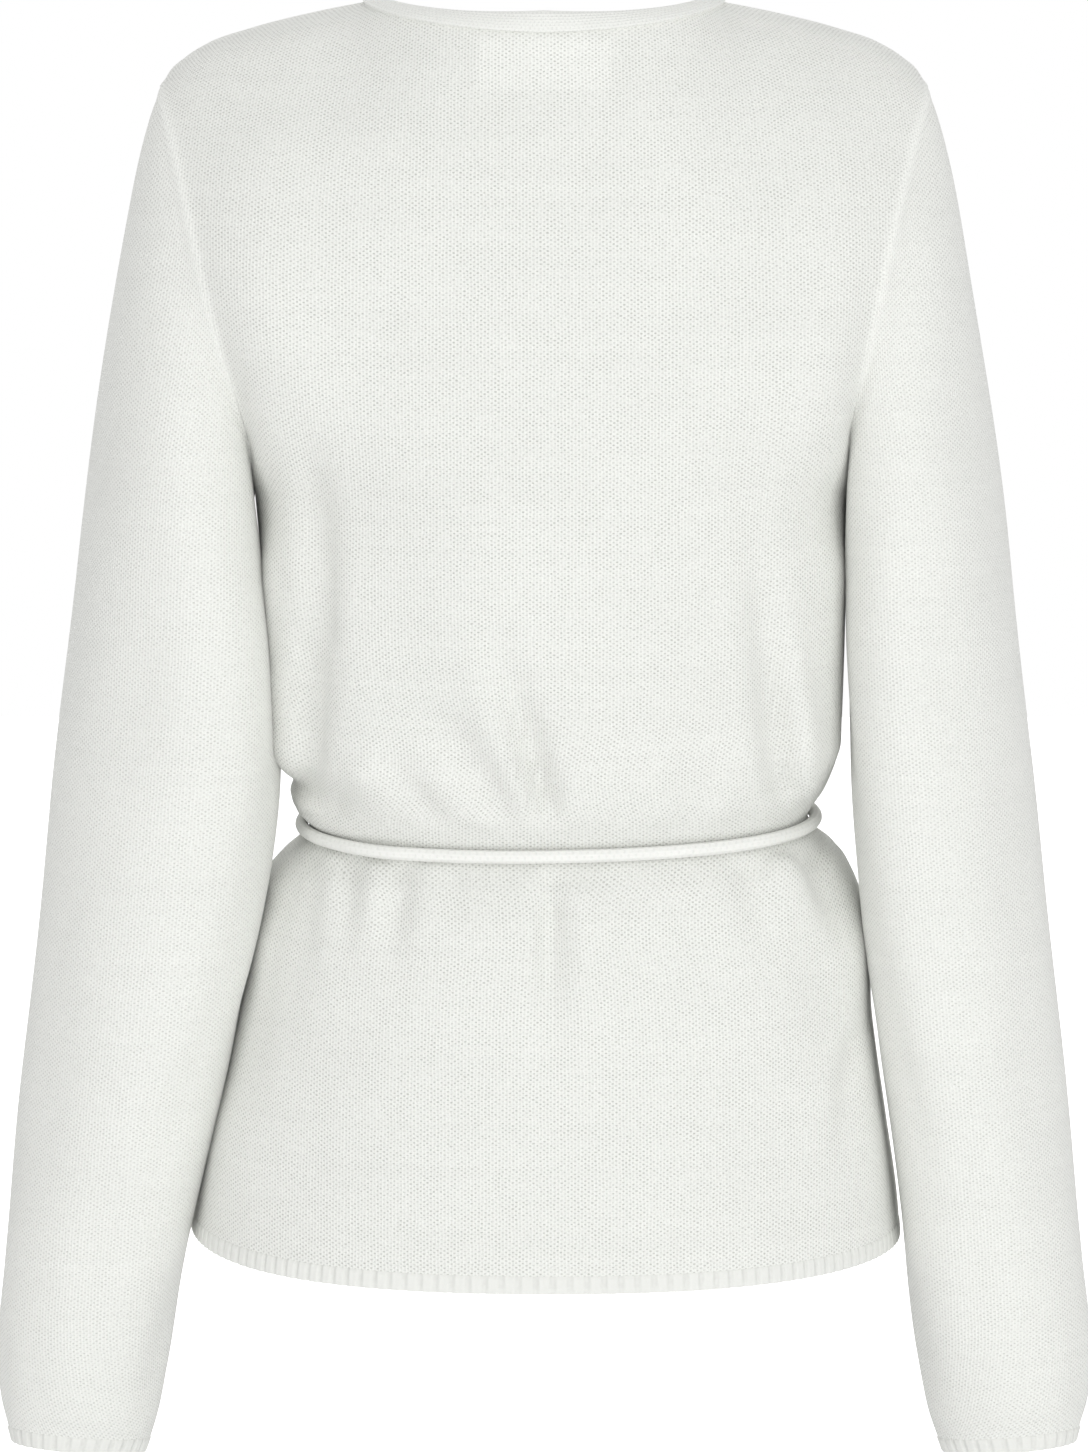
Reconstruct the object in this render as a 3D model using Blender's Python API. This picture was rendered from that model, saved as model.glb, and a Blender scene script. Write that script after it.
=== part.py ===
"""Wrap cardigan, filled out as if worn, built from its cut and sewn pieces.

The frame is in metres with +Z up. The wearer's back is towards +Y, the wearer's left is +X.
The origin is midway between the two points where the shoulder seams meet the neck.
Every cloth piece is a wall lofted through sections that are worked out from the tables below.
Heights in the tables run down from the origin, and all table values are in millimetres.
"""
import math

import bmesh
import bpy
import numpy as np

MM = 0.001

# Cloth, seams and knit
CLOTH_THICKNESS = 2.0 * MM
SEAM_GAP = 0.3 * MM
LAYER_GAP = 1.7 * MM
RIB_PITCH = 6.0 * MM
RIB_RAISE = 0.6 * MM
BAND_WIDTH = 8.0 * MM
BAND_LEVELS_OVER = 60.0
UNDER_BAND_SINK = 0.6 * MM
BAND_RAISE = 0.3 * MM

# Heights that part the garment
HEM_HEIGHT = -557.6
HEM_RIB_TOP = -549.6
YOKE_HEIGHT = -215.0
BELT_HEIGHT = -365.0
BELT_TILT_LEFT = 1.6
BELT_TILT_BEHIND = 4.5
BELT_TILT_REACH = 40.0
HEM_RISE_LEFT = 6.5
HEM_RISE_RIGHT = 3.0
HEM_RISE_TOP = -500.0
HEM_RISE_REACH = 50.0

# Torso rings: height, half width on the left, on the right, depth behind, depth in front
TORSO_COLUMNS = ("height", "left", "right", "behind", "front")
TORSO_SECTIONS = (
    (-560.0, 160.6, 162.0, 113.0, 112.0),
    (-538.0, 157.4, 160.0, 112.0, 111.0),
    (-499.0, 150.0, 154.6, 109.0, 108.0),
    (-471.0, 143.0, 150.4, 106.0, 105.0),
    (-452.0, 138.8, 148.0, 104.0, 103.0),
    (-430.0, 133.8, 147.2, 101.0, 101.0),
    (-412.0, 130.5, 146.2, 98.0, 98.0),
    (-397.0, 127.0, 142.0, 95.0, 95.0),
    (-388.0, 125.0, 138.0, 91.5, 92.0),
    (-380.0, 119.5, 133.0, 87.5, 88.0),
    (-372.0, 109.3, 122.6, 81.5, 83.0),
    (-365.0, 102.6, 115.8, 76.6, 78.6),
    (-358.0, 110.4, 120.6, 82.0, 83.5),
    (-351.0, 113.8, 126.0, 88.5, 90.0),
    (-343.0, 112.0, 129.8, 93.0, 96.0),
    (-332.0, 118.6, 132.2, 97.5, 103.0),
    (-316.0, 119.8, 133.0, 99.5, 109.0),
    (-290.0, 121.2, 133.8, 100.5, 115.0),
    (-250.0, 126.0, 134.6, 100.5, 121.0),
    (-215.0, 129.0, 136.2, 100.0, 122.0),
)
TORSO_SQUARENESS = -0.02

# Soft creases in the torso: each runs from its deep end to its fading end
CREASE_COLUMNS = ("from_across", "from_height", "to_across", "to_height", "width", "depth", "side")
TORSO_CREASES = (
    (104.0, -350.0, 100.0, -160.0, 9.0, -8.0, 1.0),
    (112.0, -350.0, 117.0, -190.0, 6.0, 4.0, 1.0),
    (-4.0, -350.0, 19.0, -270.0, 8.0, -4.0, 1.0),
    (18.0, -350.0, 62.0, -285.0, 10.0, -4.5, 1.0),
    (76.0, -350.0, 72.0, -295.0, 12.0, 5.0, 1.0),
    (-104.0, -350.0, -87.0, -220.0, 8.0, -5.0, 1.0),
    (-114.0, -350.0, -99.0, -235.0, 7.0, 3.5, 1.0),
    (-5.0, -381.0, -2.0, -450.0, 8.0, -3.5, 1.0),
    (67.0, -381.0, 70.0, -430.0, 9.0, -3.5, 1.0),
    (104.0, -381.0, 142.0, -545.0, 10.0, -8.0, 1.0),
    (-114.0, -381.0, -143.0, -540.0, 10.0, -6.0, 1.0),
    (-60.0, -381.0, -72.0, -450.0, 10.0, -2.5, 1.0),
    (-92.0, -350.0, -70.0, -250.0, 12.0, -5.0, -1.0),
    (90.0, -350.0, 84.0, -250.0, 12.0, -5.0, -1.0),
    (-100.0, -381.0, -122.0, -520.0, 13.0, -5.0, -1.0),
    (98.0, -381.0, 126.0, -520.0, 13.0, -5.0, -1.0),
)

# Shoulder seam: distance out from the centre and height
SHOULDER_OUT = (78.0, 100.0, 130.0, 148.0, 158.5, 166.0, 169.5)
SHOULDER_HEIGHT = (-0.6, -4.9, -12.4, -18.6, -25.0, -32.0, -38.5)
SHOULDER_TIP = 169.5
NECK_POINT = 78.0
NECK_SHARE = 0.25
NECK_BEHIND = 56.0
NECK_POINT_HEIGHT = -0.6
NECK_DROP = 11.6
NECK_DROP_POWER = 1.4

# Guide behind the shoulders over which the back bends forward to its top seam
GUIDE_SHARE = (0.0, 0.125, 0.25, 0.375, 0.5)
GUIDE_OUT = (171.0, 133.0, 103.0, 60.0, 0.0)
GUIDE_BEHIND = (40.0, 46.0, 50.0, 73.0, 84.0)
GUIDE_HEIGHT = (-46.0, -22.0, -22.0, -43.0, -62.0)

# Armhole seam, by turns from the shoulder over the back to the underarm and up the front
ARMHOLE_COLUMNS = (
    "turn", "left", "right", "back", "height", "lead_out", "lead_back", "lead_up")
ARMHOLE_POINTS = (
    (0.0, 169.5, 169.5, 0.0, -38.5, 14.0, 0.0, -26.0),
    (45.0, 160.0, 159.0, 41.0, -74.0, 20.0, 4.0, -28.0),
    (90.0, 147.0, 146.0, 64.0, -127.0, 17.0, 3.0, -32.0),
    (135.0, 131.0, 134.5, 54.0, -183.0, 0.0, 4.0, -20.0),
    (180.0, 129.0, 136.2, 0.0, -215.0, 1.5, 2.0, -9.0),
    (225.0, 130.0, 135.5, -58.0, -186.0, 8.0, -4.0, -20.0),
    (270.0, 139.0, 138.5, -76.0, -128.0, 19.0, -3.0, -32.0),
    (315.0, 156.0, 155.0, -48.0, -71.0, 22.0, -4.0, -27.0),
    (360.0, 169.5, 169.5, 0.0, -38.5, 14.0, 0.0, -26.0),
)

# Sleeve rings: height, outer side, inner side left and right, middle and half depth, lean
SLEEVE_COLUMNS = ("height", "outer", "left", "right", "middle", "deep", "lean")
SLEEVE_SECTIONS = (
    (-657.0, 240.0, 183.0, 183.0, 20.0, 22.0, 0.0),
    (-650.0, 241.6, 181.0, 181.0, 20.0, 23.0, 0.0),
    (-643.0, 243.4, 178.6, 178.6, 20.0, 25.0, 1.0),
    (-634.0, 245.6, 175.8, 175.8, 21.0, 28.0, 2.0),
    (-608.0, 247.2, 170.6, 170.4, 22.0, 33.0, 3.0),
    (-566.0, 243.6, 163.4, 163.6, 24.0, 37.5, 4.0),
    (-538.0, 240.9, 157.4, 160.4, 24.0, 40.0, 6.0),
    (-500.0, 236.9, 148.4, 155.6, 26.0, 43.0, 9.0),
    (-451.0, 231.5, 136.6, 148.4, 25.0, 46.0, 11.0),
    (-414.0, 227.6, 127.8, 143.5, 22.0, 48.0, 12.0),
    (-373.0, 223.0, 121.1, 139.1, 22.0, 50.0, 13.0),
    (-332.0, 218.6, 117.3, 135.2, 21.0, 52.0, 14.0),
    (-287.0, 213.5, 119.5, 132.8, 20.0, 54.0, 14.0),
    (-247.0, 208.9, 124.0, 133.0, 17.0, 56.0, 13.0),
)
SLEEVE_TOP = -247.0
CUFF_TOP = -643.0
CUFF_BOTTOM = -650.5
CUFF_SLOPE = 0.083
CUFF_SLOPE_BEHIND = 0.12

# Front edges of the wrap: height, how far the edge lies past the centre, and how deep it lies
EDGE_HEIGHT = (-560.0, -460.0, -365.0, -300.0, -240.0, -215.0)
EDGE_PAST_CENTRE = (72.0, 69.0, 62.0, 33.0, 0.0, -10.5)
NECKLINE_SHARE = (0.0, 0.3, 0.55, 0.8, 1.0)
NECKLINE_OUT = (10.5, 34.0, 53.5, 71.0, 78.0)
NECKLINE_DEPTH = (121.6, 112.0, 87.0, 43.0, 0.0)
NECKLINE_HEIGHT = (-215.0, -147.0, -86.0, -26.0, -0.6)

# Where the right front begins to rise ahead of the left front's edge, and over what width
LIFT_START = 38.0
LIFT_REACH = 20.0

# Belt cord
CORD_RADIUS = 2.9 * MM
CORD_CLEARANCE = 4.6 * MM
EDGE_CLEARANCE = 8.0
EDGE_BUMP = 1.9
CORD_POINTS = 46
KNOT_SIZE = (15.0 * MM, 11.0 * MM, 13.0 * MM)
KNOT_ANGLE = 4.68
KNOT_HALF_SPAN = 0.098
KNOT_CLEARANCE = 8.8 * MM
END_POINTS = 14
BELT_ENDS = (
    ("belt_end_a", -3.5, -12.0, -546.0),
    ("belt_end_b", 3.5, 14.0, -566.0),
)

# Blank label inside the back of the neck
LABEL_HALF_WIDTH = 28.5
LABEL_TOP = -16.0
LABEL_BOTTOM = -38.0
LABEL_THICKNESS = 0.8 * MM
LABEL_CLEARANCE = 0.8 * MM

# Rows and columns of the lofts
LOWER_ROWS = (
    HEM_RIB_TOP, -530.0, -508.0, -484.0, -460.0, -437.0, -417.0, -401.0, -390.0, -380.0,
    -372.0, -365.0, -358.0, -351.0, -343.0, -332.0, -315.0, -295.0, -268.0, -241.0,
    YOKE_HEIGHT)
YOKE_CELLS = 9
BACK_CELLS = 28
FRONT_CELLS = 12
SLEEVE_CELLS = 18
CAP_CELLS = 6
SLEEVE_ROWS = (
    SLEEVE_TOP, -287.0, -330.0, -373.0, -414.0, -451.0, -500.0, -550.0, -590.0, -618.0,
    -636.0, CUFF_TOP)

KNIT_COLOUR = (0.80, 0.81, 0.77, 1.0)
RIB_COLOUR = (0.82, 0.83, 0.79, 1.0)
CORD_COLOUR = (0.84, 0.85, 0.81, 1.0)
LABEL_COLOUR = (0.88, 0.88, 0.85, 1.0)
UNDERARM_LEAN = 0.8
FINDING_STEPS = 40
STEP = 1e-4


def smooth_table(value, keys, values):
    """Reads a smooth curve through the rows of a table whose keys rise."""
    keys = np.asarray(keys, dtype=float)
    values = np.asarray(values, dtype=float)
    slopes = np.gradient(values, keys)
    value = np.clip(np.asarray(value, dtype=float), keys[0], keys[-1])
    low = np.clip(np.searchsorted(keys, value, side="right") - 1, 0, len(keys) - 2)
    span = keys[low + 1] - keys[low]
    u = (value - keys[low]) / span
    rise = values[low + 1] - values[low]
    start = slopes[low] * span
    end = slopes[low + 1] * span
    return values[low] + u * (start + u * (3 * rise - 2 * start - end + u * (start + end - 2 * rise)))


def column(table, names, name):
    """One named column of a table, as an array."""
    return np.array([row[names.index(name)] for row in table])


def smooth_step(value):
    value = np.clip(value, 0.0, 1.0)
    return value * value * (3.0 - 2.0 * value)


def point_array(x, y, z):
    x, y, z = np.broadcast_arrays(x, y, z)
    return np.stack((x, y, z), axis=-1)


def unit(vectors):
    return vectors / np.maximum(np.linalg.norm(vectors, axis=-1, keepdims=True), 1e-12)


def bezier(first, second, third, last, share):
    share = np.asarray(share)[..., None]
    rest = 1.0 - share
    return (rest ** 3 * first + 3 * rest ** 2 * share * second
            + 3 * rest * share ** 2 * third + share ** 3 * last)


def crease_offset(across, height, facing):
    """How far the creases push the torso out (or in, below zero) at a place, in millimetres."""
    offset = np.zeros(np.broadcast(across, height, facing).shape)
    for from_x, from_z, to_x, to_z, width, depth, side in TORSO_CREASES:
        along = np.clip((height - from_z) / (to_z - from_z), 0.0, 1.0)
        centre = from_x + (to_x - from_x) * along
        reach = np.exp(-((across - centre) / width) ** 2)
        fade = np.sin(math.pi * np.sqrt(along)) ** 2
        offset = offset + depth * reach * fade * smooth_step(facing * side * 4.0)
    return offset


def torso(angle, height):
    """Point of the torso's outside: angle 0 is the left side seam, a quarter turn the back."""
    angle, height = np.broadcast_arrays(np.asarray(angle, float), np.asarray(height, float))
    heights = column(TORSO_SECTIONS, TORSO_COLUMNS, "height")

    cosine = np.cos(angle)
    sine = np.sin(angle)

    def size(name):
        return smooth_table(height, heights, column(TORSO_SECTIONS, TORSO_COLUMNS, name))

    wide = np.where(cosine >= 0.0, size("left"), size("right"))
    deep = np.where(sine >= 0.0, size("behind"), size("front"))
    square = TORSO_SQUARENESS
    x = wide * (cosine + square * np.cos(3 * angle)) / (1 + square)
    y = deep * (sine - square * np.sin(3 * angle)) / (1 + square)
    out = unit(point_array(cosine / wide, sine / deep, np.zeros(angle.shape)))
    offset = crease_offset(x, height, sine)
    rise = np.where(cosine >= 0.0, HEM_RISE_LEFT, HEM_RISE_RIGHT) * cosine ** 4
    rise = rise * smooth_step((HEM_RISE_TOP - height) / HEM_RISE_REACH)
    near_belt = np.exp(-((height - BELT_HEIGHT) / BELT_TILT_REACH) ** 2)
    rise = rise - near_belt * (BELT_TILT_LEFT * cosine + BELT_TILT_BEHIND * sine)
    return point_array(x, y, height + rise) + out * offset[..., None]


def armhole(side, turn):
    """Point of the armhole seam and the lead of the sleeve out of it; turn in degrees."""
    turns = column(ARMHOLE_POINTS, ARMHOLE_COLUMNS, "turn")

    def size(name):
        values = column(ARMHOLE_POINTS, ARMHOLE_COLUMNS, name)
        keys = np.concatenate((turns[-3:-1] - 360.0, turns, turns[1:3] + 360.0))
        values = np.concatenate((values[-3:-1], values, values[1:3]))
        return smooth_table(np.mod(turn, 360.0), keys, values)

    sign = 1.0 if side == "left" else -1.0
    seam = point_array(sign * size(side), size("back"), size("height"))
    lead = point_array(sign * size("lead_out"), size("lead_back"), size("lead_up"))
    return seam, lead


def shoulder(side, share):
    """Point of the shoulder seam, from the tip at share 0 to the neck at share 1."""
    sign = 1.0 if side == "left" else -1.0
    out = SHOULDER_TIP + (NECK_POINT - SHOULDER_TIP) * share
    return point_array(sign * out, 0.0 * out, smooth_table(out, SHOULDER_OUT, SHOULDER_HEIGHT))


def shoulder_normals(side, share):
    """Normals square to the shoulder seam, which every piece that meets there shares."""
    share = np.asarray(share, dtype=float)
    high = np.clip(share + STEP, 0.0, 1.0)
    low = np.clip(share - STEP, 0.0, 1.0)
    along = shoulder(side, high) - shoulder(side, low)
    flip = -1.0 if side == "left" else 1.0
    return unit(point_array(-along[..., 2], 0.0 * share, along[..., 0])) * flip


def neck_seam(share):
    """Back neck seam from the left neck point at 0 to the right one at 1."""
    angle = math.pi * np.asarray(share)
    drop = np.abs(np.sin(angle)) ** NECK_DROP_POWER
    height = NECK_POINT_HEIGHT - NECK_DROP * drop
    return point_array(NECK_POINT * np.cos(angle), NECK_BEHIND * np.sin(angle), height)


def yoke_blend(bottom_point, share, top, guide):
    """Column of cloth from the underarm line up over a guide to its top seam."""
    bottom, rise = bottom_point
    span = np.linalg.norm(top - bottom, axis=-1, keepdims=True)
    return bezier(bottom, bottom + rise * span * 0.36, guide, top, share)


def torso_rise(angle):
    """Torso point on the underarm line with the direction in which the cloth rises there."""
    bottom = torso(angle, YOKE_HEIGHT)
    rise = (bottom - torso(angle, YOKE_HEIGHT - 1.0))
    return bottom, unit(rise)


def back_top(across):
    """Top seam of the back panel and the guide that leads the cloth into it."""
    across = np.asarray(across, dtype=float)
    half = np.minimum(across, 1.0 - across)
    sign = np.where(across <= 0.5, 1.0, -1.0)
    on_shoulder = half < NECK_SHARE
    seam = shoulder("left", np.clip(half / NECK_SHARE, 0.0, 1.0))
    seam = seam * point_array(sign, np.ones_like(sign), np.ones_like(sign))
    share = np.clip((across - NECK_SHARE) / (1.0 - 2.0 * NECK_SHARE), 0.0, 1.0)
    neck = neck_seam(share)
    top = np.where(on_shoulder[..., None], seam, neck)
    guide = point_array(
        sign * smooth_table(half, GUIDE_SHARE, GUIDE_OUT),
        smooth_table(half, GUIDE_SHARE, GUIDE_BEHIND),
        smooth_table(half, GUIDE_SHARE, GUIDE_HEIGHT))
    return top, guide


def back_panel(across, rise):
    """Back panel: across runs 0 to 1 from left to right, rise 0 to 1 up to the underarm line
    and on to 2 at the shoulder and neck seams."""
    across, rise = np.broadcast_arrays(np.asarray(across, float), np.asarray(rise, float))
    lower_rows = np.asarray(LOWER_ROWS)
    height = np.interp(np.clip(rise, 0.0, 1.0), np.linspace(0, 1, len(lower_rows)), lower_rows)
    lower = torso(math.pi * across, height)
    share = np.clip(rise - 1.0, 0.0, 1.0)

    def plain(place):
        top, guide = back_top(place)
        return yoke_blend(torso_rise(math.pi * place), share, top, guide)

    upper = plain(across)
    for side, edge, distance in (("left", 0.0, across), ("right", 1.0, 1.0 - across)):
        seam, _ = armhole(side, 180.0 * (1.0 - share))
        pull = 0.5 + 0.5 * np.cos(math.pi * np.clip(distance / 0.44, 0.0, 1.0))
        upper = upper + pull[..., None] * (seam - plain(np.full_like(across, edge)))
    return np.where((rise > 1.0)[..., None], upper, lower)


def front_angle(across, height):
    """Torso angle of the point in front that lies a distance across at a height."""
    low = np.full(np.shape(across), math.pi * 1.1)
    high = np.full(np.shape(across), math.pi * 1.9)
    for _ in range(FINDING_STEPS):
        middle = 0.5 * (low + high)
        under = torso(middle, height)[..., 0] < across
        low = np.where(under, middle, low)
        high = np.where(under, high, middle)
    return 0.5 * (low + high)


def edge_angle(side, height):
    """Torso angle of a front panel's wrap edge, found from how far it lies past the centre."""
    past = smooth_table(height, EDGE_HEIGHT, EDGE_PAST_CENTRE)
    return front_angle(past if side == "right" else -past, height)


def neckline(side, share):
    """Front neckline seam from the underarm line at share 0 up to the neck point at 1."""
    sign = 1.0 if side == "left" else -1.0
    out = smooth_table(share, NECKLINE_SHARE, NECKLINE_OUT)
    depth = smooth_table(share, NECKLINE_SHARE, NECKLINE_DEPTH)
    return point_array(
        sign * out, -depth, smooth_table(share, NECKLINE_SHARE, NECKLINE_HEIGHT))


def front_panel(side, across, rise):
    """Front panel: across runs 0 to 1 from its side seam to its wrap edge, rise as behind."""
    across, rise = np.broadcast_arrays(np.asarray(across, float), np.asarray(rise, float))
    lower_rows = np.asarray(LOWER_ROWS)
    height = np.interp(np.clip(rise, 0.0, 1.0), np.linspace(0, 1, len(lower_rows)), lower_rows)
    seam_angle = math.pi if side == "right" else 2.0 * math.pi
    lower = torso(seam_angle + (edge_angle(side, height) - seam_angle) * across, height)
    share = np.clip(rise - 1.0, 0.0, 1.0)
    line_angle = edge_angle(side, np.full(across.shape, YOKE_HEIGHT))

    def plain(place):
        top = shoulder(side, place)
        lead = point_array(0.0 * place, -52.0 + 4.0 * place, -8.0 - 4.0 * place)
        bottom = torso_rise(seam_angle + (line_angle - seam_angle) * place)
        return yoke_blend(bottom, share, top, top + lead)

    upper = plain(across)
    seam, _ = armhole(side, 180.0 + 180.0 * share)
    pull = 0.5 + 0.5 * np.cos(math.pi * np.clip(across / 0.8, 0.0, 1.0))
    upper = upper + pull[..., None] * (seam - plain(np.zeros_like(across)))
    edge_pull = smooth_step(across)
    upper = upper + edge_pull[..., None] * (neckline(side, share) - plain(np.ones_like(across)))
    return np.where((rise > 1.0)[..., None], upper, lower)


def wrap_lift(points):
    """How far the right front is lifted where it passes over the left one."""
    x = points[..., 0]
    height = points[..., 2]
    under_edge = -smooth_table(height, EDGE_HEIGHT, EDGE_PAST_CENTRE) - BAND_WIDTH / MM
    above = np.clip(height - YOKE_HEIGHT, 0.0, None)
    lift = smooth_step((x - (under_edge + above) + LIFT_START) / LIFT_REACH)
    return (CLOTH_THICKNESS + LAYER_GAP) / MM * lift * (points[..., 1] < 0.0)


def sleeve_ring(side, turn, height):
    """Point of the sleeve's outside below the armhole; turn 0 is outside, 90 behind."""
    angle = np.radians(turn)
    heights = column(SLEEVE_SECTIONS, SLEEVE_COLUMNS, "height")

    def size(name):
        return smooth_table(height, heights, column(SLEEVE_SECTIONS, SLEEVE_COLUMNS, name))

    sign = 1.0 if side == "left" else -1.0
    outer = size("outer")
    inner = size(side)
    lean = size("lean")
    centre = 0.5 * (outer + inner)
    half = np.sqrt((0.5 * (outer - inner)) ** 2 - lean ** 2)
    x = centre + half * np.cos(angle) - lean * np.sin(angle)
    y = size("middle") + size("deep") * np.sin(angle)
    lower_share = smooth_step((SLEEVE_TOP - height) / (SLEEVE_TOP - CUFF_TOP))
    slant = CUFF_SLOPE * (x - centre) + CUFF_SLOPE_BEHIND * (y - size("middle"))
    z = height + lower_share * slant
    return point_array(sign * x, y, z)


def sleeve(side, turn, along):
    """Sleeve: along runs 0 to 1 through the cap and on to 2 at the cuff seam."""
    turn, along = np.broadcast_arrays(np.asarray(turn, float), np.asarray(along, float))
    rows = np.asarray(SLEEVE_ROWS)
    height = np.interp(np.clip(along - 1.0, 0.0, 1.0), np.linspace(0, 1, len(rows)), rows)
    lower = sleeve_ring(side, turn, height)
    seam, lead = armhole(side, turn)
    ring = sleeve_ring(side, turn, np.full(turn.shape, SLEEVE_TOP))
    below = sleeve_ring(side, turn, np.full(turn.shape, SLEEVE_TOP - 1.0))
    span = np.linalg.norm(ring - seam, axis=-1, keepdims=True)
    rise = unit(ring - below)
    upper = bezier(seam, seam + lead, ring + rise * span * 0.36, ring, np.clip(along, 0.0, 1.0))
    return np.where((along < 1.0)[..., None], upper, lower)


def surface_normals(surface, first, second, first_range, second_range):
    """Unit normals of a surface worked out from nearby points, inside its own range."""
    first, second = np.broadcast_arrays(np.asarray(first, float), np.asarray(second, float))
    step_one = STEP * (first_range[1] - first_range[0])
    low_one = np.maximum(first - step_one, first_range[0])
    high_one = np.minimum(first + step_one, first_range[1])
    low_two = np.maximum(second - STEP, second_range[0])
    high_two = np.minimum(second + STEP, second_range[1])
    one = surface(high_one, second) - surface(low_one, second)
    two = surface(first, high_two) - surface(first, low_two)
    return unit(np.cross(one, two))


def draw_in(grid, edges, ring=False):
    """Draws the named edges of a grid in by half a seam gap, square to each edge."""
    grid = grid.copy()

    def pull(line, next_line, closed):
        if closed:
            along = np.roll(line, -1, axis=0) - np.roll(line, 1, axis=0)
        else:
            along = np.gradient(line, axis=0)
        along = unit(along)
        inward = next_line - line
        inward = inward - along * np.sum(inward * along, axis=-1, keepdims=True)
        return line + unit(inward) * SEAM_GAP * 0.5

    if "first_row" in edges:
        grid[0] = pull(grid[0], grid[1], ring)
    if "last_row" in edges:
        grid[-1] = pull(grid[-1], grid[-2], ring)
    if "first_column" in edges:
        grid[:, 0] = pull(grid[:, 0], grid[:, 1], False)
    if "last_column" in edges:
        grid[:, -1] = pull(grid[:, -1], grid[:, -2], False)
    return grid


def principled(name, colour, roughness):
    material = bpy.data.materials.new(name)
    material.use_nodes = True
    shader = material.node_tree.nodes["Principled BSDF"]
    shader.inputs["Base Color"].default_value = colour
    shader.inputs["Roughness"].default_value = roughness
    shader.inputs["Metallic"].default_value = 0.0
    return material


def add_object(name, mesh, colour, collection):
    mesh.materials.append(principled(name + "_material", colour, 0.9))
    made = bpy.data.objects.new(name, mesh)
    collection.objects.link(made)
    return made


def loft_wall(name, outer, inner, collection, colour=KNIT_COLOUR, ring=False):
    """Closes an outer and an inner grid of points into one solid wall of cloth."""
    rows, columns = outer.shape[:2]
    shape = bmesh.new()
    layers = []
    for grid in (outer, inner):
        layers.append([[shape.verts.new(point) for point in row] for row in grid])
    last = columns if ring else columns - 1

    def strip(one, two, flip):
        for place in range(len(one) - (0 if ring else 1)):
            after = (place + 1) % len(one)
            face = [one[place], one[after], two[after], two[place]]
            shape.faces.new(face[::-1] if flip else face)

    for layer, flip in ((0, False), (1, True)):
        for row in range(rows - 1):
            strip(layers[layer][row], layers[layer][row + 1], flip)
    strip(layers[1][0], layers[0][0], False)
    strip(layers[0][-1], layers[1][-1], False)
    if not ring:
        for place in (0, last):
            for row in range(rows - 1):
                shape.faces.new((
                    layers[0][row][place], layers[0][row + 1][place],
                    layers[1][row + 1][place], layers[1][row][place]))
    bmesh.ops.recalc_face_normals(shape, faces=shape.faces)
    mesh = bpy.data.meshes.new(name)
    shape.to_mesh(mesh)
    shape.free()
    mesh.shade_smooth()
    mesh.set_sharp_from_angle(angle=math.radians(40.0))
    return add_object(name, mesh, colour, collection)


def wall_from_points(name, points, normals, edges, collection, colour=KNIT_COLOUR, ring=False):
    """Makes a wall from points in millimetres and the normals at them."""
    outer = points * MM
    inner = outer - normals * CLOTH_THICKNESS
    outer = draw_in(outer, edges, ring)
    inner = draw_in(inner, edges, ring)
    return loft_wall(name, outer, inner, collection, colour, ring)


def armhole_normal(side, turn):
    """Normal that the body and the sleeve share along the armhole seam."""
    turn = np.asarray(turn, dtype=float)
    sleeve_side = sleeve_normals(side, turn, np.zeros_like(turn))
    behind = turn <= 180.0
    share = np.where(behind, 1.0 - turn / 180.0, turn / 180.0 - 1.0)
    edge = 0.0 if side == "left" else 1.0
    back_side = back_normals(np.full_like(turn, edge), 1.0 + share)
    front_side = front_normals(side, np.zeros_like(turn), 1.0 + share)
    body_side = np.where(behind[..., None], back_side, front_side)
    under = np.clip(-np.cos(np.radians(turn)), 0.0, 1.0)[..., None] ** 4
    return unit(sleeve_side + body_side - under * np.array((0.0, 0.0, UNDERARM_LEAN)))


def back_normals(across, rise):
    return surface_normals(back_panel, across, rise, (0.0, 1.0), (0.0, 2.0))


def front_normals(side, across, rise):
    def surface(first, second):
        return front_panel(side, first, second)

    sign = -1.0 if side == "left" else 1.0
    return sign * surface_normals(surface, across, rise, (0.0, 1.0), (0.0, 2.0))


def sleeve_normals(side, turn, along):
    def surface(first, second):
        return sleeve(side, first, second)

    sign = 1.0 if side == "left" else -1.0
    return -sign * surface_normals(surface, turn, along, (-360.0, 720.0), (0.0, 2.0))


def panel_rows():
    lower = np.linspace(0.0, 1.0, len(LOWER_ROWS))
    upper = 1.0 + np.arange(1, YOKE_CELLS + 1) / YOKE_CELLS
    return np.concatenate((lower, upper))


def make_back(collection):
    rows = panel_rows()[:, None]
    across = np.linspace(0.0, 1.0, BACK_CELLS + 1)[None, :]
    points = back_panel(across, rows)
    normals = back_normals(across, rows)
    upper = rows[:, 0] > 1.0
    turn = 180.0 * (2.0 - rows[upper, 0])
    normals[0] = ring_normals(math.pi * across[0], np.full(across.shape[1], HEM_RIB_TOP))
    normals[upper, 0] = armhole_normal("left", turn)
    normals[upper, -1] = armhole_normal("right", turn)
    on_shoulder = int(round(NECK_SHARE * BACK_CELLS))
    share = np.arange(1, on_shoulder + 1) / on_shoulder
    normals[-1, 1:on_shoulder + 1] = shoulder_normals("left", share)
    normals[-1, -2:-on_shoulder - 2:-1] = shoulder_normals("right", share)
    neck_share = np.arange(BACK_CELLS - 2 * on_shoulder + 1) / (BACK_CELLS - 2 * on_shoulder)
    normals[-1, on_shoulder:BACK_CELLS - on_shoulder + 1] = neck_normals(neck_share)
    edges = ("first_row", "last_row", "first_column", "last_column")
    wall_from_points("back_panel", points, normals, edges, collection)


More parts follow.
